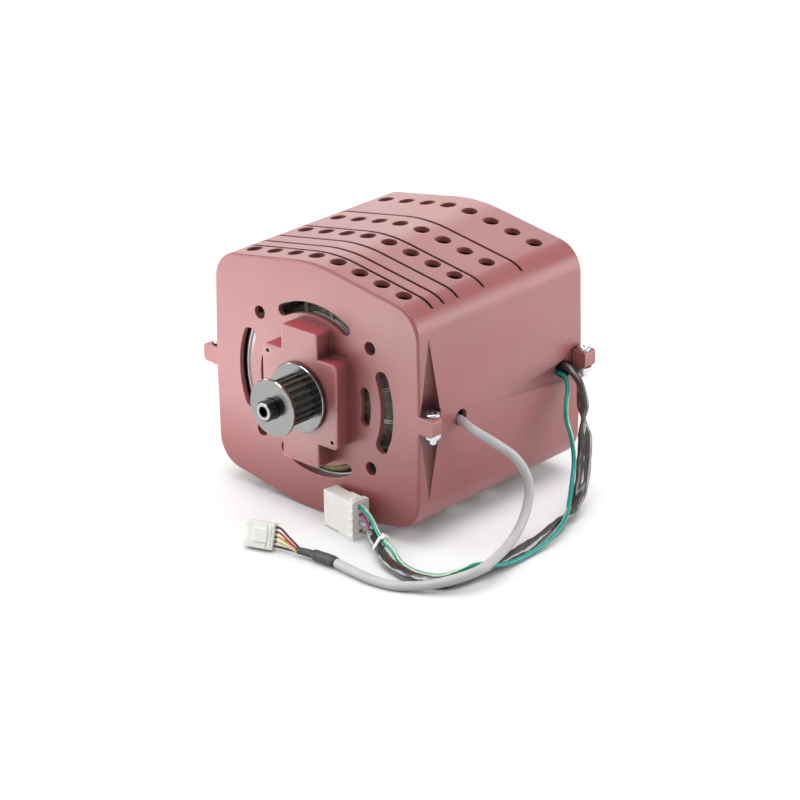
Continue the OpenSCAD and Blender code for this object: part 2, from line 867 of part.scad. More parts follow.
// Toothed barrel with a spigot at each end for the flanges
module drive_pulley() {
    y0 = -pulley_front + flange_t;
    y1 = -pulley_rear - flange_t;
    color([0.11, 0.11, 0.12]) difference() {
        union() {
            along_y(y0, y1) difference() {
                circle(r = barrel_r, $fn = 96);
                for (i = [0:tooth_count - 1]) rotate(360 * (i + 0.5) / tooth_count)
                    translate([barrel_r - groove_r * 0.35, 0]) circle(r = groove_r, $fn = 24);
            }
            bar_y(spigot_r, -pulley_front + flange_t / 3, -pulley_rear);
        }
        bar_y(nose_d / 2 + fit, -pulley_front - over, -pulley_rear + over);
        key_space(fit);
    }
}

// Flange disc in front of the teeth
module pulley_front_flange() {
    r = front_flange_d / 2;
    front = -pulley_front;
    color([0.72, 0.73, 0.75]) difference() {
        turned([
            [flange_bore, front], [r - flange_edge, front], [r, front + flange_edge],
            [r, front + flange_t - fit], [flange_bore, front + flange_t - fit]
        ]);
        bar_y(spigot_r + fit, front + flange_t / 3 - fit, front + flange_t + over);
    }
}

// Flange ring behind the teeth
module pulley_rear_flange() {
    r = rear_flange_d / 2;
    front = -pulley_rear - flange_t + fit;
    color([0.62, 0.63, 0.65]) turned([
        [spigot_r + fit, front], [r - flange_edge, front], [r, front + flange_edge],
        [r, -pulley_rear], [spigot_r + fit, -pulley_rear]
    ]);
}

// Hub that carries the encoder disc
module encoder_hub() {
    color([0.7, 0.71, 0.73]) turned([
        [shaft_d / 2 + fit, disc_y - hub_len], [hub_r, disc_y - hub_len], [hub_r, disc_y],
        [hub_r - hub_step, disc_y], [hub_r - hub_step, disc_y + disc_t + hub_lip],
        [shaft_d / 2 + fit, disc_y + disc_t + hub_lip]
    ]);
}

module encoder_disc() {
    color([0.8, 0.82, 0.85]) ring(disc_d / 2, hub_r - hub_step + fit, disc_y + fit, disc_y + disc_t);
}

// Round board screwed to the posts of the rear wall
module encoder_board() {
    color([0.1, 0.35, 0.18]) along_y(board_y, board_y + board_t) difference() {
        circle(d = board_d, $fn = 64);
        circle(r = hub_r, $fn = 48);
        for (sx = [-1, 1]) for (sz = [-1, 1])
            translate([sx * post_at, sz * post_at]) circle(d = post_screw_d + screw_clear, $fn = 24);
    }
}

// Reading head on the board, facing the disc
module encoder_sensor() {
    color([0.06, 0.06, 0.07])
        translate([-sensor_w / 2, board_y - sensor_t, disc_d / 2 - sensor_over])
        cube([sensor_w, sensor_t, sensor_w]);
}

module encoder_screws() {
    color(steel) for (sx = [-1, 1]) for (sz = [-1, 1])
        translate([sx * post_at, board_y, sz * post_at]) {
            bar_y(post_screw_d / 2 - fit, 0, board_t + post_screw_len - screw_point);
            bar_y(post_screw_d, -post_head_h, 0);
        }
}

// Grey screened cable of the encoder
module encoder_cable() {
    color([0.62, 0.62, 0.63]) cord(grey_route, cable_d / 2, cable_sides);
}

module encoder_heat_shrink() {
    color([0.2, 0.2, 0.21]) tube(shrink_route, shrink_radii, cable_sides);
}

// Height of a lead in the encoder connector
function lead_row(i) = plug_h / 2 + (i - (lead_count - 1) / 2) * lead_pitch;

// Point of the encoder connector in the part's frame
function plug_point(p) =
    let (y = p[1] * cos(plug_lean) + p[2] * sin(plug_lean))
    let (z = p[2] * cos(plug_lean) - p[1] * sin(plug_lean))
    plug_at + [p[0] * cos(plug_turn) - y * sin(plug_turn), p[0] * sin(plug_turn) + y * cos(plug_turn), z];

// Short crimped leads from the heat-shrink to the encoder connector
module encoder_leads() {
    start = shrink_route[len(shrink_route) - 1];
    color([0.75, 0.4, 0.2]) for (i = [0:lead_count - 1]) {
        step = i - (lead_count - 1) / 2;
        from = start + [-cord_gap, (i % 2 == 0 ? 1 : -1) * lead_zigzag, step * lead_rise];
        knee = plug_point([plug_len + lead_reach, plug_t / 2, lead_row(i)]);
        end = plug_point([plug_len - lead_seat, plug_t / 2, lead_row(i)]);
        cord([from, (from + knee) / 2, knee, end], lead_d / 2, wire_sides);
    }
}

// Crimp housing with a mating mouth, one cell for each lead and a latch rib
module encoder_connector() {
    cell = lead_d + 2 * cell_gap;
    color([0.92, 0.92, 0.88])
        translate(plug_at) rotate([0, 0, plug_turn]) rotate([-plug_lean, 0, 0]) difference() {
            union() {
                cube([plug_len, plug_t, plug_h]);
                translate([plug_mouth, -plug_wall, plug_h / 4])
                    cube([plug_len / 2, plug_wall + over, plug_h / 2]);
            }
            for (i = [0:lead_count - 1])
                translate([plug_len - cell_depth, (plug_t - cell) / 2, lead_row(i) - cell / 2])
                cube([cell_depth + over, cell, cell]);
            translate([-over, plug_wall, plug_wall])
                cube([plug_mouth + over, plug_t - 2 * plug_wall, plug_h - 2 * plug_wall]);
        }
}

// Crumpled black sleeve over the motor phase wires
module power_sleeve() {
    color([0.1, 0.1, 0.11]) cord(sleeve_route, sleeve_d / 2, cable_sides);
}

// Point of the power connector in the part's frame
function socket_point(p) =
    let (c = cos(socket_turn), s = sin(socket_turn))
    socket_at + [p[0] * c - p[1] * s, p[0] * s + p[1] * c, p[2]];

// Straight end of a wire in the power connector, from outside to its seat
function socket_end(row) = [
    for (x = [socket_len + lead_seat, socket_len - lead_seat]) socket_point([x, socket_t / 2, row])
];

// Striped earth wire beside the sleeve
module earth_wire() {
    color([0.05, 0.55, 0.48]) cord(concat(earth_route, socket_end(earth_row)), earth_d / 2, wire_sides);
}

// Tie band with its square head on top
module cable_tie() {
    color([0.93, 0.93, 0.92]) translate(tie_c) rotate([0, 0, tie_turn]) rotate([0, 90, 0]) {
        rotate_extrude($fn = 32) translate([tie_r - tie_band, -tie_w / 2]) square([tie_band, tie_w]);
        translate([(tie_band - tie_head[0]) / 2 - tie_r, 0, 0]) cube(tie_head, center = true);
    }
}

// Short leads from the sleeve to the power connector
module power_leads() {
    last = len(sleeve_route) - 1;
    start = sleeve_route[last];
    away = unit(start - sleeve_route[last - 1]);
    color([0.6, 0.2, 0.45]) for (i = [0:len(power_rows) - 1]) {
        from = start + cord_gap * away + power_spread[i];
        cord(
            concat([from, from + lead_seat * away], socket_end(power_rows[i])),
            power_lead_d / 2,
            wire_sides
        );
    }
}

// Square cell for one wire in the power connector
module socket_cell(row, d) {
    cell = d + 2 * cell_gap;
    translate([socket_len - cell_depth, (socket_t - cell) / 2, row - cell / 2])
        cube([cell_depth + over, cell, cell]);
}

// Rectangular power connector: mating shroud, body and lead flange
module power_connector() {
    shroud = socket_len / 2;
    color([0.94, 0.94, 0.92]) translate(socket_at) rotate([0, 0, socket_turn]) difference() {
        union() {
            translate([0, socket_step, socket_step])
                cube([shroud + over, socket_t - 2 * socket_step, socket_h - 2 * socket_step]);
            translate([shroud, 0, 0]) cube([socket_len - shroud, socket_t, socket_h]);
            translate([socket_len - socket_rim, -socket_rim_out, 0])
                cube([socket_rim, socket_t + 2 * socket_rim_out, socket_h + socket_rim_out]);
        }
        translate([-over, socket_wall, socket_wall])
            cube([socket_mouth + over, socket_t - 2 * socket_wall, socket_h - 2 * socket_wall]);
        for (row = power_rows) socket_cell(row, power_lead_d);
        socket_cell(earth_row, earth_d);
    }
}

upper_shell();
lower_shell();
housing_screws();
housing_nuts();
stator_can();
stator_core();
phase_windings();
front_bearing_outer();
front_bearing_inner();
front_bearing_balls();
rear_bearing_outer();
rear_bearing_inner();
rear_bearing_balls();
preload_spring();
motor_shaft();
rotor_core();
rotor_magnets();
drive_pulley();
pulley_front_flange();
pulley_rear_flange();
pulley_key();
encoder_hub();
encoder_disc();
encoder_board();
encoder_sensor();
encoder_screws();
encoder_cable();
encoder_heat_shrink();
encoder_leads();
encoder_connector();
power_sleeve();
earth_wire();
cable_tie();
power_leads();
power_connector();
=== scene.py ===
import json
import math

import bpy
from mathutils import Matrix, Vector, noise

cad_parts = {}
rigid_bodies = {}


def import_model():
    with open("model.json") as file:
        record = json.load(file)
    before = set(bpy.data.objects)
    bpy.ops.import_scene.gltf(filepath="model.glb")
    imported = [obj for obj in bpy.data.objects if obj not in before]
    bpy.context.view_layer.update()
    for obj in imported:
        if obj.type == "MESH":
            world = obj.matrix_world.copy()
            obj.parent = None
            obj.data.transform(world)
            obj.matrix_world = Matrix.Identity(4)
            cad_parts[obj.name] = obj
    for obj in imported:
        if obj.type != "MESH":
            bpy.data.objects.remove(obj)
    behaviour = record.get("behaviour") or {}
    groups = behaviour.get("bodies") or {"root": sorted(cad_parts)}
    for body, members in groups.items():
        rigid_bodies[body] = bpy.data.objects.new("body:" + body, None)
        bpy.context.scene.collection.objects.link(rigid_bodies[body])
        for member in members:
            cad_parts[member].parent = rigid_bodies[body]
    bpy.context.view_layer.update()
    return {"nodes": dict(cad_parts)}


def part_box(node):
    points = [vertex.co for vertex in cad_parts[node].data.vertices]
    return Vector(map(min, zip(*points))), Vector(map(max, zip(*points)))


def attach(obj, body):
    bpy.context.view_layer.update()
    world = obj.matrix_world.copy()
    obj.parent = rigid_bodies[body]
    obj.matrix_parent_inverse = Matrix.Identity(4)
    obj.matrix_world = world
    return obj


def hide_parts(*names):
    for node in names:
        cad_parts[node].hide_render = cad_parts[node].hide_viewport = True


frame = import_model()
nodes = frame["nodes"]

# Lengths are written in millimetres and turned into metres with MM
MM = 0.001
FLOOR_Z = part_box("lower_shell")[0].z
FLOOR_MM = FLOOR_Z / MM
FLOOR_CLEAR = 0.05 * MM

# Camera fitted to the photograph
CAM_AZIMUTH = 41.976
CAM_ELEVATION = 23.011
CAM_ROLL = -0.379
CAM_PLACE = (1.239109, -1.298156, 0.754598)
FOCAL_PX = 3118.104
IMAGE_PX = 800
SENSOR = 36
CLIP_NEAR, CLIP_FAR = 0.05, 50


def make_camera():
    az = math.radians(CAM_AZIMUTH)
    el = math.radians(CAM_ELEVATION)
    roll = math.radians(CAM_ROLL)
    back = Vector((math.sin(az) * math.cos(el), -math.cos(az) * math.cos(el), math.sin(el)))
    right = Vector((math.cos(az), math.sin(az), 0))
    up = back.cross(right)
    turned_right = math.cos(roll) * right + math.sin(roll) * up
    turned_up = -math.sin(roll) * right + math.cos(roll) * up
    data = bpy.data.cameras.new("camera")
    data.sensor_width = SENSOR
    data.lens = SENSOR * FOCAL_PX / IMAGE_PX
    data.clip_start = CLIP_NEAR
    data.clip_end = CLIP_FAR
    cam = bpy.data.objects.new("camera", data)
    turn = Matrix((turned_right, turned_up, back)).transposed().to_4x4()
    cam.matrix_world = Matrix.Translation(CAM_PLACE) @ turn
    bpy.context.scene.collection.objects.link(cam)
    bpy.context.scene.camera = cam


make_camera()


# Shader building blocks
def new_material(name):
    mat = bpy.data.materials.new(name)
    mat.use_nodes = True
    tree = mat.node_tree
    return mat, tree, tree.nodes["Principled BSDF"]


def add(tree, kind, **values):
    node = tree.nodes.new(kind)
    for key, value in values.items():
        setattr(node, key, value)
    return node


def feed(tree, node, values):
    """Links sockets, given by name or number, to other nodes' outputs, or sets plain values on them."""
    for key, value in values.items():
        if isinstance(value, bpy.types.NodeSocket):
            tree.links.new(value, node.inputs[key])
        else:
            node.inputs[key].default_value = value


def object_place(tree):
    return add(tree, "ShaderNodeTexCoord").outputs["Object"]


def split(tree, vector):
    node = add(tree, "ShaderNodeSeparateXYZ")
    feed(tree, node, {0: vector})
    return node.outputs


def vector_length(tree, vector):
    node = add(tree, "ShaderNodeVectorMath", operation="LENGTH")
    feed(tree, node, {0: vector})
    return node.outputs["Value"]


def math_node(tree, operation, *values):
    node = add(tree, "ShaderNodeMath", operation=operation)
    feed(tree, node, dict(enumerate(values)))
    return node.outputs[0]


def product(tree, value, *shares):
    """All the given values multiplied together."""
    for share in shares:
        value = math_node(tree, "MULTIPLY", value, share)
    return value


def noise_node(tree, place, scale, detail=3.0, stretch=(1, 1, 1)):
    mapping = add(tree, "ShaderNodeMapping")
    feed(tree, mapping, {"Vector": place, "Scale": stretch})
    tex = add(tree, "ShaderNodeTexNoise")
    feed(tree, tex, {"Vector": mapping.outputs["Vector"], "Scale": scale, "Detail": detail})
    return tex.outputs["Fac"]


def ramp(tree, fac, low, high, start=0.3, stop=0.7):
    """Runs from low to high while fac runs from start to stop."""
    node = add(tree, "ShaderNodeMapRange")
    feed(tree, node, {"Value": fac, "From Min": start, "From Max": stop, "To Min": low, "To Max": high})
    return node.outputs["Result"]


def zone(tree, value, start, stop):
    """Rises from 0 to 1 between two coordinates given in millimetres."""
    return ramp(tree, value, 0, 1, start * MM, stop * MM)


def band(tree, value, rise, fall):
    """1 between two soft steps, each given by its start and stop in millimetres."""
    return product(tree, zone(tree, value, *rise), zone(tree, value, *fall))


def mix_colour(tree, fac, a, b):
    node = add(tree, "ShaderNodeMix", data_type="RGBA")
    a, b = (c if isinstance(c, bpy.types.NodeSocket) else (*c, 1) for c in (a, b))
    feed(tree, node, {0: fac, 6: a, 7: b})
    return node.outputs[2]


def mix_normal(tree, fac, a, b):
    node = add(tree, "ShaderNodeMix", data_type="VECTOR")
    feed(tree, node, {0: fac, 4: a, 5: b})
    return node.outputs[1]


def add_bump(tree, shader, height, distance, **under):
    """Fine relief in millimetres, where asked on top of another normal."""
    node = add(tree, "ShaderNodeBump")
    feed(tree, node, {"Strength": 1.0, "Distance": distance * MM, "Height": height, **under})
    feed(tree, shader, {"Normal": node.outputs["Normal"]})
    return node.outputs["Normal"]


def axis_radius(tree, place):
    """Distance from the shaft axis, and the place along it."""
    x, y, z = split(tree, place)
    flat = add(tree, "ShaderNodeCombineXYZ")
    feed(tree, flat, {"X": x, "Z": z})
    return vector_length(tree, flat.outputs[0]), y


def edge_normal(tree, radius):
    node = add(tree, "ShaderNodeBevel", samples=6)
    feed(tree, node, {"Radius": radius * MM})
    return node.outputs["Normal"]


def openness(tree, reach, inside=False, own=True):
    """About 1 on open surfaces and less in recesses, or, from inside the solid, less at its outer edges."""
    node = add(tree, "ShaderNodeAmbientOcclusion", samples=8, only_local=own, inside=inside)
    feed(tree, node, {"Distance": reach * MM})
    return node.outputs["AO"]


# General materials
TOOL_RING = 0.35
TIP_FRONT = (-46.2, -46.4)
TIP_RIM = (3.5, 3.9)
TIP_SHINE = (0.56, 0.55, 0.54)


def mottled(name, dark, light, scale, rough, metallic=0.0, grain=900.0, depth=0.02,
            stretch=(1, 1, 1), gloss=None):
    """Colour, roughness and fine relief that vary a little; gloss gives more shader values by name."""
    mat, tree, shader = new_material(name)
    place = object_place(tree)
    cloud = noise_node(tree, place, scale, stretch=stretch)
    fine = noise_node(tree, place, grain, detail=2.0, stretch=stretch)
    feed(tree, shader, {
        "Base Color": mix_colour(tree, ramp(tree, cloud, 0, 1), dark, light),
        "Roughness": ramp(tree, cloud, *rough),
        "Metallic": metallic,
        **(gloss or {}),
    })
    add_bump(tree, shader, fine, depth)
    return mat


def turned_metal(name, dark, light, rough, bright_tip=False):
    """Turned metal with fine tool rings about the shaft, and where asked a bright ring on its front end."""
    mat, tree, shader = new_material(name)
    place = object_place(tree)
    radius, depth = axis_radius(tree, place)
    wave = math_node(tree, "SINE", math_node(tree, "MULTIPLY", radius, 2 * math.pi / (TOOL_RING * MM)))
    cloud = noise_node(tree, place, 160.0)
    colour = mix_colour(tree, ramp(tree, cloud, 0, 1), dark, light)
    if bright_tip:
        ring = product(tree, zone(tree, depth, *TIP_FRONT), zone(tree, radius, *TIP_RIM))
        colour = mix_colour(tree, ring, colour, TIP_SHINE)
    feed(tree, shader, {"Base Color": colour, "Roughness": ramp(tree, cloud, *rough), "Metallic": 1.0})
    add_bump(tree, shader, wave, 0.004)
    return mat


def nylon(name, colour, glow):
    """Milky connector plastic that lets some light through."""
    mat, tree, shader = new_material(name)
    place = object_place(tree)
    cloud = noise_node(tree, place, 180.0)
    shade = tuple(0.93 * c for c in colour)
    feed(tree, shader, {
        "Base Color": mix_colour(tree, ramp(tree, cloud, 0, 1), shade, colour),
        "Roughness": ramp(tree, cloud, 0.3, 0.42),
        "Subsurface Weight": glow,
        "Subsurface Radius": (1.0, 0.95, 0.85),
        "Subsurface Scale": 1.5 * MM,
    })
    add_bump(tree, shader, noise_node(tree, place, 1200.0), 0.01)
    return mat


# Stator can: bright plating inside and on the rim, and a painted shade, a near-black colour, outside
CAN_SHADE_EDGE = (63.1, 63.4)


def stator_plating():
    mat, tree, shader = new_material("plated_can_shaded_outside")
    place = object_place(tree)
    radius, _ = axis_radius(tree, place)
    cloud = noise_node(tree, place, 90.0, stretch=(1, 0.1, 1))
    plated = mix_colour(tree, ramp(tree, cloud, 0, 1), (0.66, 0.65, 0.63), (0.80, 0.79, 0.77))
    # Painted shade: the outside is near black, for the shade inside the housing seen through vents and
    # holes
    outside_shade = mix_colour(tree, ramp(tree, cloud, 0, 1), (0.030, 0.014, 0.012), (0.055, 0.028, 0.024))
    outside = zone(tree, radius, *CAN_SHADE_EDGE)
    feed(tree, shader, {
        "Base Color": mix_colour(tree, outside, plated, outside_shade),
        "Roughness": ramp(tree, cloud, 0.30, 0.42),
        "Metallic": ramp(tree, outside, 0.3, 0.0, 0, 1),
    })
    add_bump(tree, shader, noise_node(tree, place, 900.0, detail=2.0), 0.02)
    return mat


# Housing plastic: colours
HOUSING_DARK = (0.355, 0.088, 0.088)
HOUSING_LIGHT = (0.395, 0.106, 0.106)
# Painted highlight colour for the outer edges
HOUSING_EDGE_HIGHLIGHT = (0.85, 0.52, 0.53)
# Painted shade: a deeper red for the boss's upward faces
HOUSING_BOSS_TOP_SHADE = (0.50, 0.048, 0.068)
# Painted shade colour for the cable scoop, recesses, corners and the pulley's contact shadow
HOUSING_SHADE = (0.055, 0.008, 0.008)

# Housing plastic: how far the painted shades, the painted edge highlight and the edge rounding reach
CAVITY_REACH = 10
RECESS_REACH = 25
PULLEY_REACH = 17
EDGE_HIGHLIGHT_REACH = 1.4
EDGE_ROUND = 0.7

# Housing plastic: soft steps that bound its zones, each from start to stop
BOSS_Y = (-1.5, -2.5)
SPLIT_OFF = (0.6, 1.4)
PULLEY_X = (2, 16)
RECESS_X, RECESS_Y = (66, 72), (34, 26)
SCOOP_X = ((74, 80), (89, 88))
SCOOP_Y = ((55, 75), (153, 150))
SCOOP_Z = ((-34, -24), (14, 8))
SCOOP_SHADE_Y = (80, 134)
SCOOP_SHADE_Z = ((-17, -3), (6, -1))
SCOOP_SHADE = 0.6
WALL_NORMAL = (1, 0, 0)


def scoop_shade(tree, y, z, scoop):
    """Soft shade that deepens towards the rear end of the cable scoop."""
    deepen = product(tree, zone(tree, y, *SCOOP_SHADE_Y), SCOOP_SHADE)
    return product(tree, band(tree, z, *SCOOP_SHADE_Z), deepen, scoop)


def recess_shade(tree, x, y):
    """Shade in the screwdriver recesses beside the front right lug."""
    closed = ramp(tree, openness(tree, RECESS_REACH), 0.75, 0, 0.4, 0.95)
    return product(tree, zone(tree, x, *RECESS_X), zone(tree, y, *RECESS_Y), closed)


def pulley_shade(tree, x, boss):
    """Contact shade on the boss beside the pulley."""
    close = ramp(tree, openness(tree, PULLEY_REACH, own=False), 0.92, 0, 0.38, 0.95)
    return product(tree, boss, close, zone(tree, x, *PULLEY_X))


def painted_edge_highlight(tree, boss, off_split):
    """Painted highlight: a paler colour on outer edges, stronger on the boss and none at the split line."""
    edge_mask_and_speck_normal = ramp(tree, openness(tree, EDGE_HIGHLIGHT_REACH, inside=True), 1.0, 0.0, 0.55, 0.92)
    return product(tree, edge_mask_and_speck_normal, off_split, ramp(tree, boss, 0.08, 0.85, 0, 1))


def housing_plastic():
    """Satin moulded burgundy: flow clouds, fine grain, rounded edges with a painted highlight, painted
    shades and a soft cable scoop.
    """
    mat, tree, shader = new_material("burgundy_housing")
    place = object_place(tree)
    x, y, z = split(tree, place)
    true = add(tree, "ShaderNodeNewGeometry").outputs["Normal"]
    upward = ramp(tree, split(tree, true)["Z"], 0, 1, 0.5, 0.9)
    boss = zone(tree, y, *BOSS_Y)
    off_split = zone(tree, math_node(tree, "ABSOLUTE", z), *SPLIT_OFF)
    scoop = product(tree, band(tree, x, *SCOOP_X), band(tree, y, *SCOOP_Y), band(tree, z, *SCOOP_Z))

    cloud = noise_node(tree, place, 14.0, detail=4.0)
    colour = mix_colour(tree, ramp(tree, cloud, 0, 1), HOUSING_DARK, HOUSING_LIGHT)
    # Painted shade: a deeper red on the boss's upward faces
    colour = mix_colour(tree, product(tree, boss, upward), colour, HOUSING_BOSS_TOP_SHADE)
    # Painted shade: darker towards the rear of the cable scoop, in recesses and corners, in the lug
    # recesses and beside the pulley
    colour = mix_colour(tree, scoop_shade(tree, y, z, scoop), colour, HOUSING_SHADE)
    cavity_shade = ramp(tree, openness(tree, CAVITY_REACH), 1, 0, 0.15, 0.8)
    for shade in (cavity_shade, recess_shade(tree, x, y), pulley_shade(tree, x, boss)):
        colour = mix_colour(tree, shade, colour, HOUSING_SHADE)
    # Painted highlight: a paler colour along the outer edges
    colour = mix_colour(tree, painted_edge_highlight(tree, boss, off_split), colour, HOUSING_EDGE_HIGHLIGHT)

    flow = noise_node(tree, place, 26.0, stretch=(1, 0.25, 1))
    feed(tree, shader, {
        "Base Color": colour,
        "Roughness": ramp(tree, flow, 0.36, 0.46),
        "Specular IOR Level": 0.9,
        "Sheen Weight": 0.15,
        "Sheen Roughness": 0.5,
    })
    sharp = mix_normal(tree, off_split, true, edge_normal(tree, EDGE_ROUND))
    rounded = mix_normal(tree, scoop, sharp, WALL_NORMAL)
    speck = noise_node(tree, place, 420.0, detail=1.0)
    grain = noise_node(tree, place, 1500.0, detail=2.0)
    edge_mask_and_speck_normal = add_bump(tree, shader, speck, 0.012, Normal=rounded)
    add_bump(tree, shader, grain, 0.014, Normal=edge_mask_and_speck_normal)
    return mat


# All materials
M_HOUSING = housing_plastic()
M_ZINC = mottled("zinc_plated", (0.62, 0.63, 0.66), (0.80, 0.80, 0.82), 260, (0.16, 0.28), metallic=1.0)
M_STEEL = mottled("bright_steel", (0.60, 0.60, 0.61), (0.76, 0.76, 0.77), 90, (0.22, 0.34), metallic=1.0,
                  stretch=(1, 0.1, 1))
M_CAN = stator_plating()
M_COLLAR = mottled("plated_collar", (0.52, 0.51, 0.49), (0.64, 0.63, 0.61), 90, (0.28, 0.38), metallic=0.4)
M_LAMINATION = mottled("lamination", (0.14, 0.14, 0.15), (0.22, 0.22, 0.23), 120, (0.4, 0.6), metallic=0.9,
                       grain=600, depth=0.05, stretch=(1, 12, 1))
M_LACQUER = mottled("lacquered_winding", (0.18, 0.18, 0.148), (0.48, 0.48, 0.40), 140, (0.16, 0.32),
                    grain=500, depth=0.08)
M_MAGNET = mottled("magnet", (0.12, 0.12, 0.13), (0.2, 0.2, 0.21), 200, (0.4, 0.55), metallic=0.8)
M_SHAFT = turned_metal("blackened_shaft", (0.020, 0.020, 0.022), (0.045, 0.045, 0.048), (0.26, 0.38),
                       bright_tip=True)
M_PULLEY = mottled("blackened_pulley", (0.050, 0.048, 0.043), (0.080, 0.077, 0.069), 150, (0.46, 0.62),
                   metallic=0.1, grain=700, depth=0.03)
M_FLANGE = turned_metal("turned_flange", (0.345, 0.34, 0.34), (0.37, 0.365, 0.365), (0.13, 0.15))
M_HUB = turned_metal("turned_hub", (0.55, 0.56, 0.58), (0.68, 0.69, 0.71), (0.25, 0.36))
M_BOARD = mottled("board_laminate", (0.010, 0.055, 0.022), (0.020, 0.095, 0.040), 90, (0.3, 0.45))
M_SENSOR = mottled("sensor_body", (0.010, 0.010, 0.011), (0.022, 0.022, 0.024), 200, (0.4, 0.55))
M_GREY = mottled("grey_sheath", (0.51, 0.505, 0.498), (0.58, 0.575, 0.568), 60, (0.36, 0.48),
                 grain=700, depth=0.03)
M_SHRINK = mottled("heat_shrink", (0.045, 0.045, 0.048), (0.085, 0.085, 0.088), 110, (0.36, 0.55),
                   grain=320, depth=0.10)
M_SLEEVE = mottled("crumpled_sleeve", (0.028, 0.025, 0.022), (0.058, 0.052, 0.047), 120, (0.16, 0.26),
                   grain=420, depth=0.05,
                   gloss={"Specular IOR Level": 1.0, "Coat Weight": 1.0, "Coat Roughness": 0.16})
M_EARTH = mottled("earth_green", (0.006, 0.30, 0.25), (0.020, 0.39, 0.33), 90, (0.2, 0.3))
M_STRIPE = mottled("earth_stripe", (0.66, 0.78, 0.54), (0.76, 0.86, 0.64), 90, (0.3, 0.42))
M_TIE = nylon("tie_nylon", (0.88, 0.88, 0.86), 0.15)
M_PLUG = nylon("plug_nylon", (0.90, 0.91, 0.87), 0.35)
M_SOCKET = nylon("socket_nylon", (0.90, 0.89, 0.85), 0.15)
M_LACE = nylon("lacing_cord", (0.78, 0.79, 0.76), 0.2)
M_CRIMP = mottled("crimp_metal", (0.10, 0.09, 0.07), (0.22, 0.20, 0.16), 400, (0.25, 0.4), metallic=0.9)
M_SLEEVING = mottled("yellow_sleeving", (0.36, 0.32, 0.13), (0.50, 0.45, 0.21), 160, (0.45, 0.6),
                     grain=600, depth=0.06)

LEAD_COLOURS = {
    "black": (0.012, 0.012, 0.013),
    "cream": (0.72, 0.62, 0.28),
    "yellow": (0.75, 0.45, 0.03),
    "red": (0.50, 0.035, 0.02),
    "brown": (0.10, 0.022, 0.015),
    "magenta": (0.36, 0.05, 0.20),
    "white": (0.72, 0.72, 0.70),
    "grey": (0.20, 0.20, 0.21),
}
M_LEAD = {
    key: mottled("lead_" + key, tuple(0.85 * c for c in colour), colour, 220, (0.3, 0.42))
    for key, colour in LEAD_COLOURS.items()
}


# Paths
def smooth_path(points, step):
    """One smooth curve through points in millimetres, sampled about every step metres."""
    pts = [Vector(p) * MM for p in points]
    ends = [2 * pts[0] - pts[1], *pts, 2 * pts[-1] - pts[-2]]
    path = []
    for k in range(1, len(ends) - 2):
        a, b, c, d = ends[k - 1:k + 3]
        count = max(2, round((c - b).length / step))
        for i in range(count):
            t = i / count
            path.append(
                0.5 * (2 * b + (c - a) * t + (2 * a - 5 * b + 4 * c - d) * t ** 2
                       + (3 * b - a - 3 * c + d) * t ** 3))
    path.append(pts[-1])
    return path


def travelled(path):
    """Length of the path up to each of its points."""
    lengths = [0.0]
    for a, b in zip(path, path[1:]):
        lengths.append(lengths[-1] + (b - a).length)
    return lengths


def path_frames(path):
    """Direction and two side vectors at each point, carried along without twist."""
    last = len(path) - 1
    side = Vector((0.1, 0.2, 1))
    frames = []
    for k in range(last + 1):
        ahead = (path[min(k + 1, last)] - path[max(k - 1, 0)]).normalized()
        side = (side - side.dot(ahead) * ahead).normalized()
        frames.append((ahead, side, ahead.cross(side)))
    return frames


def loop_frames(path):
    """Direction and side vectors for a closed loop about the shaft axis."""
    count = len(path)
    frames = []
    for k in range(count):
        ahead = (path[(k + 1) % count] - path[k - 1]).normalized()
        side = (Vector((0, 1, 0)) - ahead.y * ahead).normalized()
        frames.append((ahead, side, ahead.cross(side)))
    return frames


def skin_noise(along, angle, per_metre, round_about, shift=0):
    """Smooth relief on a tube's skin, from -1 to 1."""
    return noise.noise(Vector((
        per_metre * along + shift, round_about * math.cos(angle), round_about * math.sin(angle))))


# Meshes
def side_material(mat, stripe, share, ring_frame, turn):
    """The stripe's material on the side of the tube where the stripe lies at that share of its length."""
    if stripe is None:
        return mat
    other, half, sides = stripe
    k = max(i for i in range(len(sides) - 1) if sides[i][0] <= share)
    (begin, first), (stop, last) = sides[k:k + 2]
    side = Vector(first).lerp(Vector(last), (share - begin) / (stop - begin))
    _, u, v = ring_frame
    middle = math.atan2(side.dot(v), side.dot(u)) / (2 * math.pi)
    off = (turn - middle + 0.5) % 1 - 0.5
    return other if abs(off) < half else mat


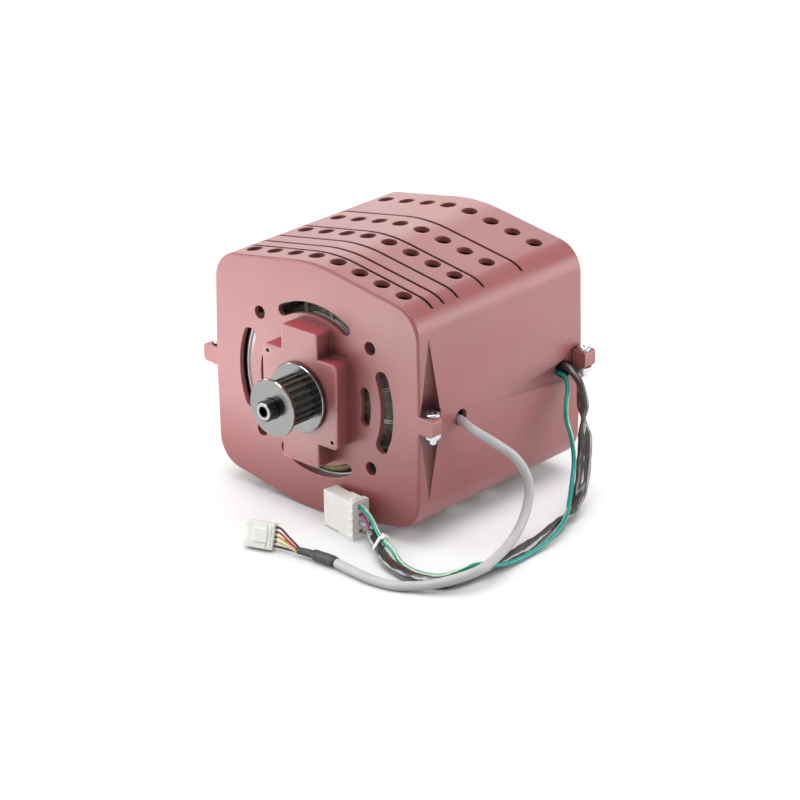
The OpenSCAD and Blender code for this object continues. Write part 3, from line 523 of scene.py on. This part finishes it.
class TubeSet:
    """Gathers tubes into one mesh, each with its own material."""

    def __init__(self, name):
        self.name = name
        self.verts = []
        self.faces = []
        self.slots = []
        self.mats = []

    def slot_of(self, mat):
        if mat not in self.mats:
            self.mats.append(mat)
        return self.mats.index(mat)

    def tube(self, path, radius, sides, mat, closed=False, stripe=None):
        """radius: metres or a function of (ring, angle). stripe: (material, half width, sides)."""
        base = len(self.verts)
        rings = len(path)
        frames = loop_frames(path) if closed else path_frames(path)
        for k, (point, (_, u, v)) in enumerate(zip(path, frames)):
            for i in range(sides):
                a = 2 * math.pi * i / sides
                r = radius(k, a) if callable(radius) else radius
                p = point + r * (math.cos(a) * u + math.sin(a) * v)
                p.z = max(p.z, FLOOR_Z + FLOOR_CLEAR)
                self.verts.append(p)
        for k in range(rings if closed else rings - 1):
            here, there = base + k * sides, base + (k + 1) % rings * sides
            for i in range(sides):
                j = (i + 1) % sides
                self.faces.append((here + i, here + j, there + j, there + i))
                turn = (i + 0.5) / sides
                self.slots.append(self.slot_of(side_material(mat, stripe, k / rings, frames[k], turn)))
        if not closed:
            self.faces.append(tuple(base + i for i in reversed(range(sides))))
            self.faces.append(tuple(base + (rings - 1) * sides + i for i in range(sides)))
            self.slots += [self.slot_of(mat)] * 2

    def build(self, body):
        mesh = bpy.data.meshes.new(self.name)
        mesh.from_pydata(self.verts, [], self.faces)
        for mat in self.mats:
            mesh.materials.append(mat)
        mesh.polygons.foreach_set("material_index", self.slots)
        mesh.polygons.foreach_set("use_smooth", [len(f) == 4 for f in self.faces])
        mesh.update()
        obj = bpy.data.objects.new(self.name, mesh)
        bpy.context.scene.collection.objects.link(obj)
        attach(obj, body)
        return obj


BLOCK_FACES = ((0, 2, 3, 1), (4, 5, 7, 6), (0, 1, 5, 4), (2, 6, 7, 3), (0, 4, 6, 2), (1, 3, 7, 5))


def add_block(verts, faces, low, high, place):
    """Adds a block between two corners, in millimetres in a frame of its own, to a mesh."""
    base = len(verts)
    for k in range(8):
        corner = Vector([(low, high)[(k >> axis) & 1][axis] for axis in range(3)])
        verts.append((place @ corner) * MM)
    faces += [tuple(base + i for i in f) for f in BLOCK_FACES]


def ring_faces(rings, closed):
    """Faces between neighbouring rings of four points."""
    faces = []
    for k in range(rings if closed else rings - 1):
        a, b = 4 * k, 4 * ((k + 1) % rings)
        faces += [(a + i, a + (i + 1) % 4, b + (i + 1) % 4, b + i) for i in range(4)]
    return faces


def solid_mesh(name, verts, faces, mat, bevel):
    """A small moulded piece on the housing body, with softened edges."""
    mesh = bpy.data.meshes.new(name)
    mesh.from_pydata(verts, [], faces)
    mesh.materials.append(mat)
    obj = bpy.data.objects.new(name, mesh)
    bpy.context.scene.collection.objects.link(obj)
    edges = obj.modifiers.new("edges", "BEVEL")
    edges.width = bevel * MM
    edges.segments = 2
    edges.limit_method = "ANGLE"
    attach(obj, "housing")
    return obj


# Cord routes, repeated from the part's source
GREY_ROUTE = [
    (77, 39, -8.2), (87, 38, -8.2), (97, 34, -8.5), (106, 35, -11.5), (113, 41, -17.5),
    (118, 51, -27), (121, 59, -39), (123.5, 61, -51), (126, 56, -62), (131, 43, -69.5),
    (139, 22, -72), (147, 0, -70.3), (149, -15, -71), (143.5, -28, -73.5), (135, -37, -76.5),
    (125, -44, -79), (112, -51.5, -80.2), (97, -54.5, -80.2), (82, -54, -80), (66, -52.8, -79.4),
]
SLEEVE_ROUTE = [
    (78, 142.4, -5.4), (90, 142.4, -5.6), (98.5, 140.8, -12.5), (103.5, 138, -23), (107, 135, -35),
    (111, 131.5, -47), (115, 126, -58), (120, 118, -69), (126, 104, -77.5), (131.5, 86, -79.8),
    (136, 66, -79.8), (138.5, 46, -79.8), (139, 26, -79.8), (139.5, 7, -79.8), (139, -12, -79.8),
    (135, -27, -79.8), (124, -35, -79.8), (110, -36.5, -79.8), (95, -33.5, -79.8), (84, -29, -79.3),
    (72.5, -22.3, -78), (63, -16.8, -76.6),
]
SLEEVE_MOUTH = (59.3, -14.9, -73.6)
EARTH_ROUTE = [
    (78, 138.4, -9.6), (88, 138.4, -10), (94, 134.5, -16), (99, 127, -22), (103, 122.5, -31),
    (107.5, 122.5, -43), (112, 119.5, -56), (117.5, 111, -66.5), (126, 98, -72.4), (135, 84, -75),
    (141, 68, -77.5), (143.7, 53, -79.8), (144.3, 37, -81), (145, 20, -80), (145, 4, -76.5),
    (139, -7, -73.6), (131.5, -15, -77.8), (122, -22.3, -81.5), (109, -26.5, -81.8), (95, -25.7, -80.5),
    (84, -22.5, -75.5), (74, -19.7, -73.6), (66, -15.6, -71.6), (59, -13.2, -66.4),
]
SHRINK_ROUTE = [
    (65.5, -52.8, -79.4), (63, -52.7, -79.3), (49, -53.5, -79.2), (46, -53.9, -79.2), (37, -56, -79),
]
GREY_R, EARTH_R, SLEEVE_R = 3.0, 1.5, 3.5
CORD_STEP, SLEEVE_STEP, LEAD_STEP = 2.5 * MM, 1.5 * MM, 0.8 * MM

# Connector frames, repeated from the part's source
PLUG_LEN, PLUG_H, PLUG_T = 18, 16.5, 7
PLUG_TURN, PLUG_LEAN = 19, 20
PLUG_AT = (4.6, -70, FLOOR_MM + PLUG_T * math.sin(math.radians(PLUG_LEAN)))
SOCKET_LEN, SOCKET_H, SOCKET_T = 31, 25.5, 11.5
SOCKET_TURN = -9
SOCKET_AT = (17.2, -12.8, FLOOR_MM)
SOCKET_RIM = 0.8

plug_frame = (
    Matrix.Translation(PLUG_AT)
    @ Matrix.Rotation(math.radians(PLUG_TURN), 4, "Z")
    @ Matrix.Rotation(math.radians(-PLUG_LEAN), 4, "X")
)
socket_frame = Matrix.Translation(SOCKET_AT) @ Matrix.Rotation(math.radians(SOCKET_TURN), 4, "Z")

# Leads between the cords and the connectors
LEAD_PITCH, LEAD_SEAT, LEAD_REACH = 2.9, 3, 2.5
LEAD_ZIGZAG, LEAD_RISE, CORD_GAP = 0.75, 0.9, 0.8
LEAD_R, CRIMP_R, CRIMP_OUT = 0.7, 0.82, 1.4
ENCODER_LEADS = ("black", "cream", "yellow", "red", "brown")
POWER_LEADS = ("grey", "white", "magenta")
POWER_ROWS = (5.5, 11, 16.5)
POWER_SPREAD = ((0, 0, -1.8), (0, 1.4, 0.8), (0, -1.4, 0.9))
POWER_R = 1.0
EARTH_ROW = 22


def socket_end(row):
    """Way of a lead into the power connector, at a height of its lead face."""
    ends = (SOCKET_LEN + LEAD_SEAT, SOCKET_LEN - LEAD_SEAT)
    return [socket_frame @ Vector((x, SOCKET_T / 2, row)) for x in ends]


# Encoder cable with its heat-shrink, leads and connector
SHRINK_RADII = [3.2, 3.6, 3.5, 2.5, 2.3]
SHRINK_WRINKLE = 0.18


def encoder_cable():
    path = smooth_path(GREY_ROUTE, CORD_STEP)
    cable = TubeSet("encoder_cable_sheath")
    cable.tube(path, GREY_R * MM, 20, M_GREY)
    obj = cable.build("housing")
    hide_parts("encoder_cable")
    return obj, path


def heat_shrink():
    """Shrunk tube that steps down from the cable to the bundle of leads, with small wrinkles."""
    path = smooth_path(SHRINK_ROUTE, LEAD_STEP)
    travel = travelled(path)
    spots = travelled([Vector(p) * MM for p in SHRINK_ROUTE])

    def radius(k, a):
        s = min(travel[k], spots[-1])
        j = max(i for i in range(len(spots) - 1) if spots[i] <= s + 1e-9)
        t = (s - spots[j]) / (spots[j + 1] - spots[j])
        t = t * t * (3 - 2 * t)
        r = SHRINK_RADII[j] + (SHRINK_RADII[j + 1] - SHRINK_RADII[j]) * t
        return (r + SHRINK_WRINKLE * skin_noise(s, a, 260, 1.4)) * MM

    tube = TubeSet("heat_shrink_tube")
    tube.tube(path, radius, 20, M_SHRINK)
    obj = tube.build("housing")
    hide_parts("encoder_heat_shrink")
    return obj


def encoder_leads():
    tubes = TubeSet("encoder_lead_set")
    start = Vector(SHRINK_ROUTE[-1])
    for i, key in enumerate(ENCODER_LEADS):
        step = i - 2
        row = PLUG_H / 2 + step * LEAD_PITCH
        begin = start + Vector((-CORD_GAP, LEAD_ZIGZAG if i % 2 == 0 else -LEAD_ZIGZAG, step * LEAD_RISE))
        knee = plug_frame @ Vector((PLUG_LEN + LEAD_REACH, PLUG_T / 2, row))
        end = plug_frame @ Vector((PLUG_LEN - LEAD_SEAT, PLUG_T / 2, row))
        lead = smooth_path([begin, (begin + knee) / 2, knee, end], LEAD_STEP)
        tubes.tube(lead, LEAD_R * MM, 12, M_LEAD[key])
        mouth = plug_frame @ Vector((PLUG_LEN + CRIMP_OUT, PLUG_T / 2, row))
        tubes.tube(smooth_path([mouth, end], 1.0 * MM), CRIMP_R * MM, 10, M_CRIMP)
    obj = tubes.build("housing")
    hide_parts("encoder_leads")
    return obj


cable, grey_path = encoder_cable()
heat_shrink()
encoder_leads()


# Power sleeve, earth wire, tie, leads and connector
TIE_AT = (73, -22.1, -77.9)
TIE_EARTH = (74, -19.7, -73.6)
TIE_ALONG = (-0.86, 0.50, 0.11)
TIE_PULL, TIE_GATHER = 9, 0.24
TIE_STEPS = 28
TIE_R_SLEEVE, TIE_R_EARTH = 3.3, 1.75
TIE_BAND, TIE_W = 0.8, 3.0
TIE_LOCK, TIE_LOCK_FLAT = 4.2, 0.6
TIE_BEVEL = 0.2

# Sleeve relief as shares of its radius, lengths along it in metres and turns in radians per metre
FLAT_LEAST, FLAT_MORE = 0.10, 0.28
FLAT_END, FLAT_FADE = 0.17, 0.05
TWIST, TWIST_SWAY = 30, 1.6
LUMP, CREASE = 0.14, 0.16
PINCH_AT, PINCH_HALF, PINCH_DEPTH = 48, 9, 0.40

# Side on which the earth wire's stripe lies, by the share of the wire's length
STRIPE_HALF = 0.065
STRIPE_SIDES = (
    (0.00, (0.95, 0.30, 0.10)),
    (0.16, (0.95, 0.30, 0.10)),
    (0.26, (-0.30, 0.90, -0.50)),
    (0.40, (-0.52, -0.17, 0.80)),
    (0.62, (-0.52, -0.17, 0.80)),
    (0.74, (0.50, -0.40, 0.38)),
    (1.00, (0.92, -0.12, 0.38)),
)


def tent(distance, half):
    """1 at the middle, falling to 0 at half width."""
    return max(0.0, 1 - distance / half)


def power_sleeve():
    """Thin black sleeve with flats and creases over three wires."""
    path = smooth_path([*SLEEVE_ROUTE, SLEEVE_MOUTH], SLEEVE_STEP)
    travel = travelled(path)

    def radius(k, a):
        s = travel[k]
        loose = FLAT_LEAST + FLAT_MORE * max(0.0, min(1.0, (FLAT_END - s) / FLAT_FADE))
        turn = TWIST * s + TWIST_SWAY * noise.noise(Vector((40 * s, 3, 5)))
        flat = loose * math.cos(2 * (a - turn))
        lump = LUMP * skin_noise(s, a, 60, 1.1)
        crease = CREASE * abs(skin_noise(s, a, 120, 1.8, shift=7))
        off_tie = (path[k] - Vector(TIE_AT) * MM).length / MM
        gather = 1 - TIE_GATHER * tent(off_tie, TIE_PULL)
        gather *= 1 - PINCH_DEPTH * tent(abs(s / MM - PINCH_AT), PINCH_HALF)
        return SLEEVE_R * MM * gather * (1.0 + flat + lump - crease)

    tube = TubeSet("power_sleeve_skin")
    tube.tube(path, radius, 28, M_SLEEVE)
    obj = tube.build("housing")
    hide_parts("power_sleeve")
    return obj, path


def power_leads():
    tubes = TubeSet("power_lead_set")
    last = Vector(SLEEVE_MOUTH)
    away = (last - Vector(SLEEVE_ROUTE[-1])).normalized()
    for key, row, spread in zip(POWER_LEADS, POWER_ROWS, POWER_SPREAD):
        begin = last - LEAD_SEAT * away + Vector(spread)
        out = last + CORD_GAP * away + Vector(spread)
        tubes.tube(smooth_path([begin, out, *socket_end(row)], LEAD_STEP), POWER_R * MM, 12, M_LEAD[key])
    obj = tubes.build("housing")
    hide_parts("power_leads")
    return obj


def earth_wire():
    path = smooth_path([*EARTH_ROUTE, *socket_end(EARTH_ROW)], CORD_STEP)
    wire = TubeSet("earth_wire_sheath")
    wire.tube(path, EARTH_R * MM, 24, M_EARTH, stripe=(M_STRIPE, STRIPE_HALF, STRIPE_SIDES))
    obj = wire.build("housing")
    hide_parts("earth_wire")
    return obj, path


def tie_outline(low, high, across, side):
    """Points of the band's inner line round the sleeve, at low, and the earth wire, at high."""
    outline = []
    for k in range(TIE_STEPS):
        a = 2 * math.pi * (k + 0.5) / TIE_STEPS
        centre, r = (high, TIE_R_EARTH) if math.cos(a) > 0 else (low, TIE_R_SLEEVE)
        spread = TIE_R_EARTH + (TIE_R_SLEEVE - TIE_R_EARTH) * 0.5 * (1 - math.cos(a))
        outline.append(centre + r * math.cos(a) * across + spread * math.sin(a) * side)
    return outline


def cable_tie():
    """Flat nylon band pulled round the sleeve and the earth wire, with its square lock."""
    along = Vector(TIE_ALONG).normalized()
    low, high = Vector(TIE_AT), Vector(TIE_EARTH)
    across = high - low
    across = (across - across.dot(along) * along).normalized()
    side = along.cross(across)
    outline = tie_outline(low, high, across, side)
    verts = []
    for k, p in enumerate(outline):
        tangent = (outline[(k + 1) % TIE_STEPS] - outline[k - 1]).normalized()
        out = tangent.cross(along).normalized()
        for t, w in ((0, -1), (0, 1), (TIE_BAND, 1), (TIE_BAND, -1)):
            verts.append((p + t * out + 0.5 * w * TIE_W * along) * MM)
    faces = ring_faces(TIE_STEPS, closed=True)
    lock = Matrix((side, along, across)).transposed().to_4x4()
    lock.translation = outline[0] + TIE_BAND * across
    corner = Vector((1, 1, TIE_LOCK_FLAT)) * TIE_LOCK / 2
    add_block(verts, faces, -corner, corner, lock)
    obj = solid_mesh("cable_tie_band", verts, faces, M_TIE, TIE_BEVEL)
    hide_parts("cable_tie")
    return obj


sleeve, sleeve_path = power_sleeve()
power_leads()
cable_tie()
earth, earth_path = earth_wire()


# Small moulded details of the two connectors, in each connector's own frame
SOCKET_LATCH = ((24.6, 3.0, SOCKET_H - 0.5), (26.6, 8.5, SOCKET_H + 1.4))
SOCKET_TOP_RIBS = (27.3, 29.7)
SOCKET_SIDE_RIBS = (2.5, 8, 13.5, 19)
SOCKET_BEVEL = 0.25
PLUG_MOUTH_RIBS = (1.0, 7.2, 13.3)
PLUG_GUIDES = (12.5, 15.4)
PLUG_GUIDE_END = 1.2
PLUG_BEVEL = 0.2
RIB_INSET = 0.6
RIB_W = 0.9


def block_mesh(name, blocks, place, bevel, mat):
    """Bevelled blocks given by two corners."""
    verts = []
    faces = []
    for low, high in blocks:
        add_block(verts, faces, low, high, place)
    return solid_mesh(name, verts, faces, mat, bevel)


def socket_ribs():
    """Latch and stiffening ribs at the lead end of the power connector."""
    top = SOCKET_H + SOCKET_RIM
    wall = -SOCKET_RIM
    blocks = [SOCKET_LATCH]
    for x in SOCKET_TOP_RIBS:
        blocks.append(((x, RIB_INSET, top - 0.4), (x + RIB_W, SOCKET_T - RIB_INSET, top + 0.7)))
    for z in SOCKET_SIDE_RIBS:
        blocks.append(((27.3, wall - 0.5, z), (30.8, wall + 0.3, z + 1.2)))
    return block_mesh("socket_ribs", blocks, socket_frame, SOCKET_BEVEL, M_SOCKET)


def plug_ribs():
    """Guide ribs and the split mouth of the encoder connector."""
    blocks = []
    for z in PLUG_MOUTH_RIBS:
        blocks.append(((-1.6, RIB_INSET, z), (1.5, PLUG_T - RIB_INSET, z + 2.2)))
    for x in PLUG_GUIDES:
        blocks.append(((x, -0.7, PLUG_GUIDE_END), (x + RIB_W, 0.4, PLUG_H - PLUG_GUIDE_END)))
    return block_mesh("plug_ribs", blocks, plug_frame, PLUG_BEVEL, M_PLUG)


socket_ribs()
plug_ribs()


# Winding head behind the front slots
HEAD_IN, HEAD_OUT, HEAD_FRONT, HEAD_EDGE = 33.9, 52.3, 15.0, 5.0
STRAND_COUNT, STRAND_STEPS, STRAND_R = 24, 120, 0.55
STRAND_SWAY, STRAND_PROUD, STRAND_LIFT = 0.8, 0.25, 0.35
LACE_COUNT, LACE_STEPS, LACE_R = 14, 22, 0.6
LACE_PROUD, LACE_HALF, LACE_LEAN, LACE_FIRST = 1.4, 0.016, 0.12, 0.35

# Wires and sleeving across it, as radius, depth and angle about the shaft
SLEEVING_ENDS = (57.5, 11.5, -93), (51.5, 10.5, -60)
SLEEVING_R = 2.1
STAR_LONG = (47.4, 12.4, 104), (41.6, 12.4, 62)
STAR_SHORT = (45.4, 12.6, 82), (43.6, 12.6, 58)
STAR_LONG_R, STAR_SHORT_R = 0.6, 0.5

# Bundle behind the inner slots, and the can's bright lip as radius and depth
BRIDGE_ROUTE = [
    (36, 14.6, -31), (34, 12.9, -17), (32.8, 12.4, -5), (32.8, 12.4, 8), (34, 12.9, 19), (37, 14.6, 30),
]
BRIDGE_COUNT, BRIDGE_R, BRIDGE_STAGGER, BRIDGE_WIRE_R = 7, 1.6, 0.8, 0.75
COLLAR = ((56.6, 6.0), (62.6, 6.0), (62.6, 7.4), (56.6, 7.4))
COLLAR_ARC, COLLAR_STEPS, COLLAR_BEVEL = (110, 308), 80, 0.3


def head_profile(t, proud):
    """Radius and depth on the head's rounded front: t runs from its inner side to its outer side."""
    flat = HEAD_OUT - HEAD_IN - 2 * HEAD_EDGE
    turn = HEAD_EDGE * math.pi / 2
    s = t * (flat + 2 * turn)
    r = HEAD_EDGE + proud
    if s < turn:
        a = s / HEAD_EDGE
        return HEAD_IN + HEAD_EDGE - r * math.cos(a), HEAD_FRONT + HEAD_EDGE - r * math.sin(a)
    if s < turn + flat:
        return HEAD_IN + HEAD_EDGE + s - turn, HEAD_FRONT - proud
    a = (s - turn - flat) / HEAD_EDGE
    return HEAD_OUT - HEAD_EDGE + r * math.sin(a), HEAD_FRONT + HEAD_EDGE - r * math.cos(a)


def round_axis(radius, depth, angle):
    return Vector((radius * math.cos(angle), depth, radius * math.sin(angle))) * MM


def sweep(first, last, steps):
    """Path between two places, each given as radius, depth and angle in degrees about the shaft."""
    path = []
    for k in range(steps + 1):
        t = k / steps
        r, y, a = (p + (q - p) * t for p, q in zip(first, last))
        path.append(round_axis(r, y, math.radians(a)))
    return path


def winding_strands():
    """Enamelled wires laid round the front winding head, slightly uneven."""
    strands = TubeSet("winding_strands")
    for n in range(STRAND_COUNT):
        path = []
        for k in range(STRAND_STEPS):
            a = 2 * math.pi * k / STRAND_STEPS
            sway = noise.noise(Vector((2.2 * math.cos(a), 2.2 * math.sin(a), 1.7 * n)))
            lift = noise.noise(Vector((3.1 * math.cos(a), 3.1 * math.sin(a), 9 + 1.3 * n)))
            t = (n + 0.5 + STRAND_SWAY * sway) / (STRAND_COUNT + 0.6)
            r, y = head_profile(t, STRAND_PROUD + STRAND_LIFT * lift)
            path.append(round_axis(r, y, a))
        strands.tube(path, STRAND_R * MM, 6, M_LACQUER, closed=True)
    return strands.build("housing")


def winding_laces():
    """Pairs of lacing cord that bind the front winding head at regular places."""
    laces = TubeSet("winding_laces")
    for n in range(LACE_COUNT):
        mid = 2 * math.pi * (n + LACE_FIRST) / LACE_COUNT
        for side in (-1, 1):
            path = []
            for k in range(LACE_STEPS + 1):
                t = k / LACE_STEPS
                r, y = head_profile(t, LACE_PROUD)
                path.append(round_axis(r, y, mid + side * LACE_HALF + LACE_LEAN * (t - 0.5)))
            laces.tube(path, LACE_R * MM, 8, M_LACE)
    return laces.build("housing")


def lead_sleeving():
    """Yellow sleeving over the winding's lead-outs, lying in the can at the bottom."""
    tube = TubeSet("lead_sleeving")
    tube.tube(sweep(*SLEEVING_ENDS, 24), SLEEVING_R * MM, 14, M_SLEEVING)
    return tube.build("housing")


def bridge_strands():
    """Bundle of enamelled wires that crosses behind the inner slots."""
    bundle = TubeSet("bridge_strands")
    for n in range(BRIDGE_COUNT):
        a = 2 * math.pi * n / BRIDGE_COUNT
        shift = Vector((BRIDGE_R * math.cos(a), BRIDGE_R * math.sin(a), BRIDGE_STAGGER * (n % 2)))
        for mirror in (1, -1):
            points = [Vector((mirror * x, y, z)) + shift for x, y, z in BRIDGE_ROUTE]
            bundle.tube(smooth_path(points, SLEEVE_STEP), BRIDGE_WIRE_R * MM, 8, M_LACQUER)
    return bundle.build("housing")


def star_wires():
    """Pale connecting wires that run along the front of the winding head."""
    tubes = TubeSet("star_wires")
    tubes.tube(sweep(*STAR_LONG, 30), STAR_LONG_R * MM, 10, M_LACE)
    tubes.tube(sweep(*STAR_SHORT, 20), STAR_SHORT_R * MM, 10, M_LACE)
    return tubes.build("housing")


def can_collar():
    """Bright inward lip round the left and lower part of the stator can's front end."""
    first, last = (math.radians(a) for a in COLLAR_ARC)
    turns = [first + (last - first) * k / COLLAR_STEPS for k in range(COLLAR_STEPS + 1)]
    verts = [round_axis(r, y, a) for a in turns for r, y in COLLAR]
    ends = [(3, 2, 1, 0), tuple(4 * COLLAR_STEPS + i for i in range(4))]
    faces = ends + ring_faces(COLLAR_STEPS + 1, closed=False)
    return solid_mesh("can_collar", verts, faces, M_COLLAR, COLLAR_BEVEL)


winding_strands()
winding_laces()
lead_sleeving()
bridge_strands()
star_wires()
collar = can_collar()


# Finish of the CAD nodes
NODE_MATERIALS = {
    M_HOUSING: ("upper_shell", "lower_shell"),
    M_ZINC: ("housing_screws", "housing_nuts", "encoder_screws"),
    M_CAN: ("stator_can",),
    M_STEEL: ("front_bearing_outer", "front_bearing_inner", "front_bearing_balls",
              "rear_bearing_outer", "rear_bearing_inner", "rear_bearing_balls",
              "preload_spring", "pulley_key"),
    M_LAMINATION: ("stator_core", "rotor_core"),
    M_LACQUER: ("phase_windings",),
    M_MAGNET: ("rotor_magnets",),
    M_SHAFT: ("motor_shaft",),
    M_PULLEY: ("drive_pulley",),
    M_FLANGE: ("pulley_front_flange", "pulley_rear_flange"),
    M_HUB: ("encoder_hub", "encoder_disc"),
    M_BOARD: ("encoder_board",),
    M_SENSOR: ("encoder_sensor",),
    M_PLUG: ("encoder_connector",),
    M_SOCKET: ("power_connector",),
}
BEVELS = {"encoder_connector": 0.4, "power_connector": 0.5, "housing_nuts": 0.2}
SMOOTH_ANGLE = math.radians(30)
WELD = 0.002 * MM


def smooth_group():
    """Joins split corners and shades smooth up to the given edge angle."""
    group = bpy.data.node_groups.new("smooth_by_angle", "GeometryNodeTree")
    group.interface.new_socket("Geometry", in_out="INPUT", socket_type="NodeSocketGeometry")
    group.interface.new_socket("Geometry", in_out="OUTPUT", socket_type="NodeSocketGeometry")
    start = group.nodes.new("NodeGroupInput")
    stop = group.nodes.new("NodeGroupOutput")
    bare = group.nodes.new("GeometryNodeRemoveAttribute")
    bare.inputs["Name"].default_value = "custom_normal"
    merge = group.nodes.new("GeometryNodeMergeByDistance")
    merge.inputs["Distance"].default_value = WELD
    faces = group.nodes.new("GeometryNodeSetShadeSmooth")
    angle = group.nodes.new("GeometryNodeInputMeshEdgeAngle")
    sharp = group.nodes.new("FunctionNodeCompare")
    sharp.data_type = "FLOAT"
    sharp.operation = "GREATER_THAN"
    sharp.inputs[1].default_value = SMOOTH_ANGLE
    edges = group.nodes.new("GeometryNodeSetShadeSmooth")
    edges.domain = "EDGE"
    edges.inputs["Shade Smooth"].default_value = False
    link = group.links.new
    link(start.outputs[0], bare.inputs["Geometry"])
    link(bare.outputs["Geometry"], merge.inputs["Geometry"])
    link(merge.outputs["Geometry"], faces.inputs["Geometry"])
    link(faces.outputs["Geometry"], edges.inputs["Geometry"])
    link(angle.outputs["Unsigned Angle"], sharp.inputs[0])
    link(sharp.outputs["Result"], edges.inputs["Selection"])
    link(edges.outputs["Geometry"], stop.inputs[0])
    return group


SMOOTH = smooth_group()


def dress(node, mat):
    obj = nodes[node]
    obj.data.materials.clear()
    obj.data.materials.append(mat)
    if node in BEVELS:
        weld = obj.modifiers.new("weld", "WELD")
        weld.merge_threshold = WELD
        bevel = obj.modifiers.new("edges", "BEVEL")
        bevel.width = BEVELS[node] * MM
        bevel.segments = 2
        bevel.limit_method = "ANGLE"
        bevel.angle_limit = SMOOTH_ANGLE
    shade = obj.modifiers.new("shade", "NODES")
    shade.node_group = SMOOTH
    normals = obj.modifiers.new("normals", "WEIGHTED_NORMAL")
    normals.mode = "FACE_AREA"
    normals.weight = 50
    normals.keep_sharp = True


for mat, names in NODE_MATERIALS.items():
    for name in names:
        dress(name, mat)


# Floor and world
FLOOR_HALF = 8.0
FLOOR_DROP = 0.02 * MM
FLOOR_GREY = (0.62, 0.62, 0.62, 1)
FLOOR_REACH = 24
FLOOR_GLOW, FAR_GLOW = 0.50, 0.80
FLOOR_NEAR, FLOOR_FAR = 0.6, 2.0
WORLD_LEVEL = 0.42


def floor_glow_level(tree):
    """Pale glow seen by camera, glossy and transmitted rays, which fades close to the object as a painted
    contact shadow.
    """
    seen = add(tree, "ShaderNodeLightPath").outputs
    direct = math_node(tree, "MAXIMUM", seen["Is Camera Ray"], seen["Is Glossy Ray"])
    direct = math_node(tree, "MAXIMUM", direct, seen["Is Transmission Ray"])
    # Painted contact shadow: the glow fades where the object stands close
    clear = ramp(tree, openness(tree, FLOOR_REACH, own=False), 0, 1, 0.1, 0.9)
    away = vector_length(tree, object_place(tree))
    return product(tree, direct, clear, ramp(tree, away, FLOOR_GLOW, FAR_GLOW, FLOOR_NEAR, FLOOR_FAR))


def make_floor():
    mesh = bpy.data.meshes.new("floor")
    signs = ((-1, -1), (1, -1), (1, 1), (-1, 1))
    corners = [(x * FLOOR_HALF, y * FLOOR_HALF, FLOOR_Z - FLOOR_DROP) for x, y in signs]
    mesh.from_pydata(corners, [], [(0, 1, 2, 3)])
    obj = bpy.data.objects.new("floor", mesh)
    bpy.context.scene.collection.objects.link(obj)
    mat, tree, _ = new_material("pale_floor")
    tree.nodes.clear()
    paper = add(tree, "ShaderNodeBsdfDiffuse")
    feed(tree, paper, {"Color": FLOOR_GREY})
    glow = add(tree, "ShaderNodeEmission")
    feed(tree, glow, {"Strength": floor_glow_level(tree)})
    both = add(tree, "ShaderNodeAddShader")
    feed(tree, both, {0: paper.outputs[0], 1: glow.outputs[0]})
    feed(tree, add(tree, "ShaderNodeOutputMaterial"), {"Surface": both.outputs[0]})
    mesh.materials.append(mat)


def make_world():
    world = bpy.data.worlds.new("studio")
    bpy.context.scene.world = world
    world.use_nodes = True
    shade = world.node_tree.nodes["Background"]
    shade.inputs["Color"].default_value = (1, 1, 1, 1)
    shade.inputs["Strength"].default_value = WORLD_LEVEL


# Light: some lamps serve the moulded shells alone, one serves all the other pieces
SHELL_NODES = [nodes["upper_shell"], nodes["lower_shell"]]
GLOW_LIFT = 2 * MM
MIDDLE = (0, 0.05, 0)


def receivers():
    """Groups of the pieces that take light from a lamp of their own."""
    shells = bpy.data.collections.new("shells")
    pieces = bpy.data.collections.new("pieces")
    for obj in bpy.context.scene.objects:
        if obj.type == "MESH":
            group = shells if obj in SHELL_NODES else pieces
            group.objects.link(obj)
    for obj in (nodes["stator_can"], collar):
        shells.objects.link(obj)
    return shells, pieces


def softbox(name, place, aim, size, power, group=None):
    data = bpy.data.lights.new(name, "AREA")
    data.shape = "RECTANGLE"
    data.size, data.size_y = size
    data.energy = power
    obj = bpy.data.objects.new(name, data)
    obj.location = place
    obj.rotation_euler = (Vector(aim) - Vector(place)).to_track_quat("-Z", "Y").to_euler()
    bpy.context.scene.collection.objects.link(obj)
    if group is not None:
        obj.light_linking.receiver_collection = group


def floor_panel(name, place, size, power, group):
    """A soft panel at floor level that gives the moulded shells their pale sheen."""
    low = Vector((*place, FLOOR_Z + GLOW_LIFT))
    softbox(name, low, low + Vector((0, 0, 1)), (size, size), power, group)


shells, pieces = receivers()
make_floor()
make_world()
softbox("top_box", (0, 0.05, 1.5), MIDDLE, (1.6, 1.6), 13)
softbox("front_left_box", (-1.5, -0.85, 0.40), (0, 0, 0), (1.2, 1.2), 16)
softbox("back_left_box", (-1.4, 1.35, 0.8), (0, 0.08, 0.05), (1.4, 1.0), 9)
softbox("right_box", (1.5, 1.3, 0.45), MIDDLE, (1.5, 1.0), 16)
softbox("fill_box", (1.5, -1.5, 0.9), MIDDLE, (1.0, 1.0), 1)
softbox("front_top_box", (-0.5, -1.2, 1.4), (0, 0, 0), (0.8, 0.8), 13, pieces)
floor_panel("front_glow", (-0.22, -0.24), 0.34, 1.2, shells)
floor_panel("side_glow", (0.36, 0.38), 0.3, 0.3, shells)

bpy.context.scene.view_settings.view_transform = "Standard"
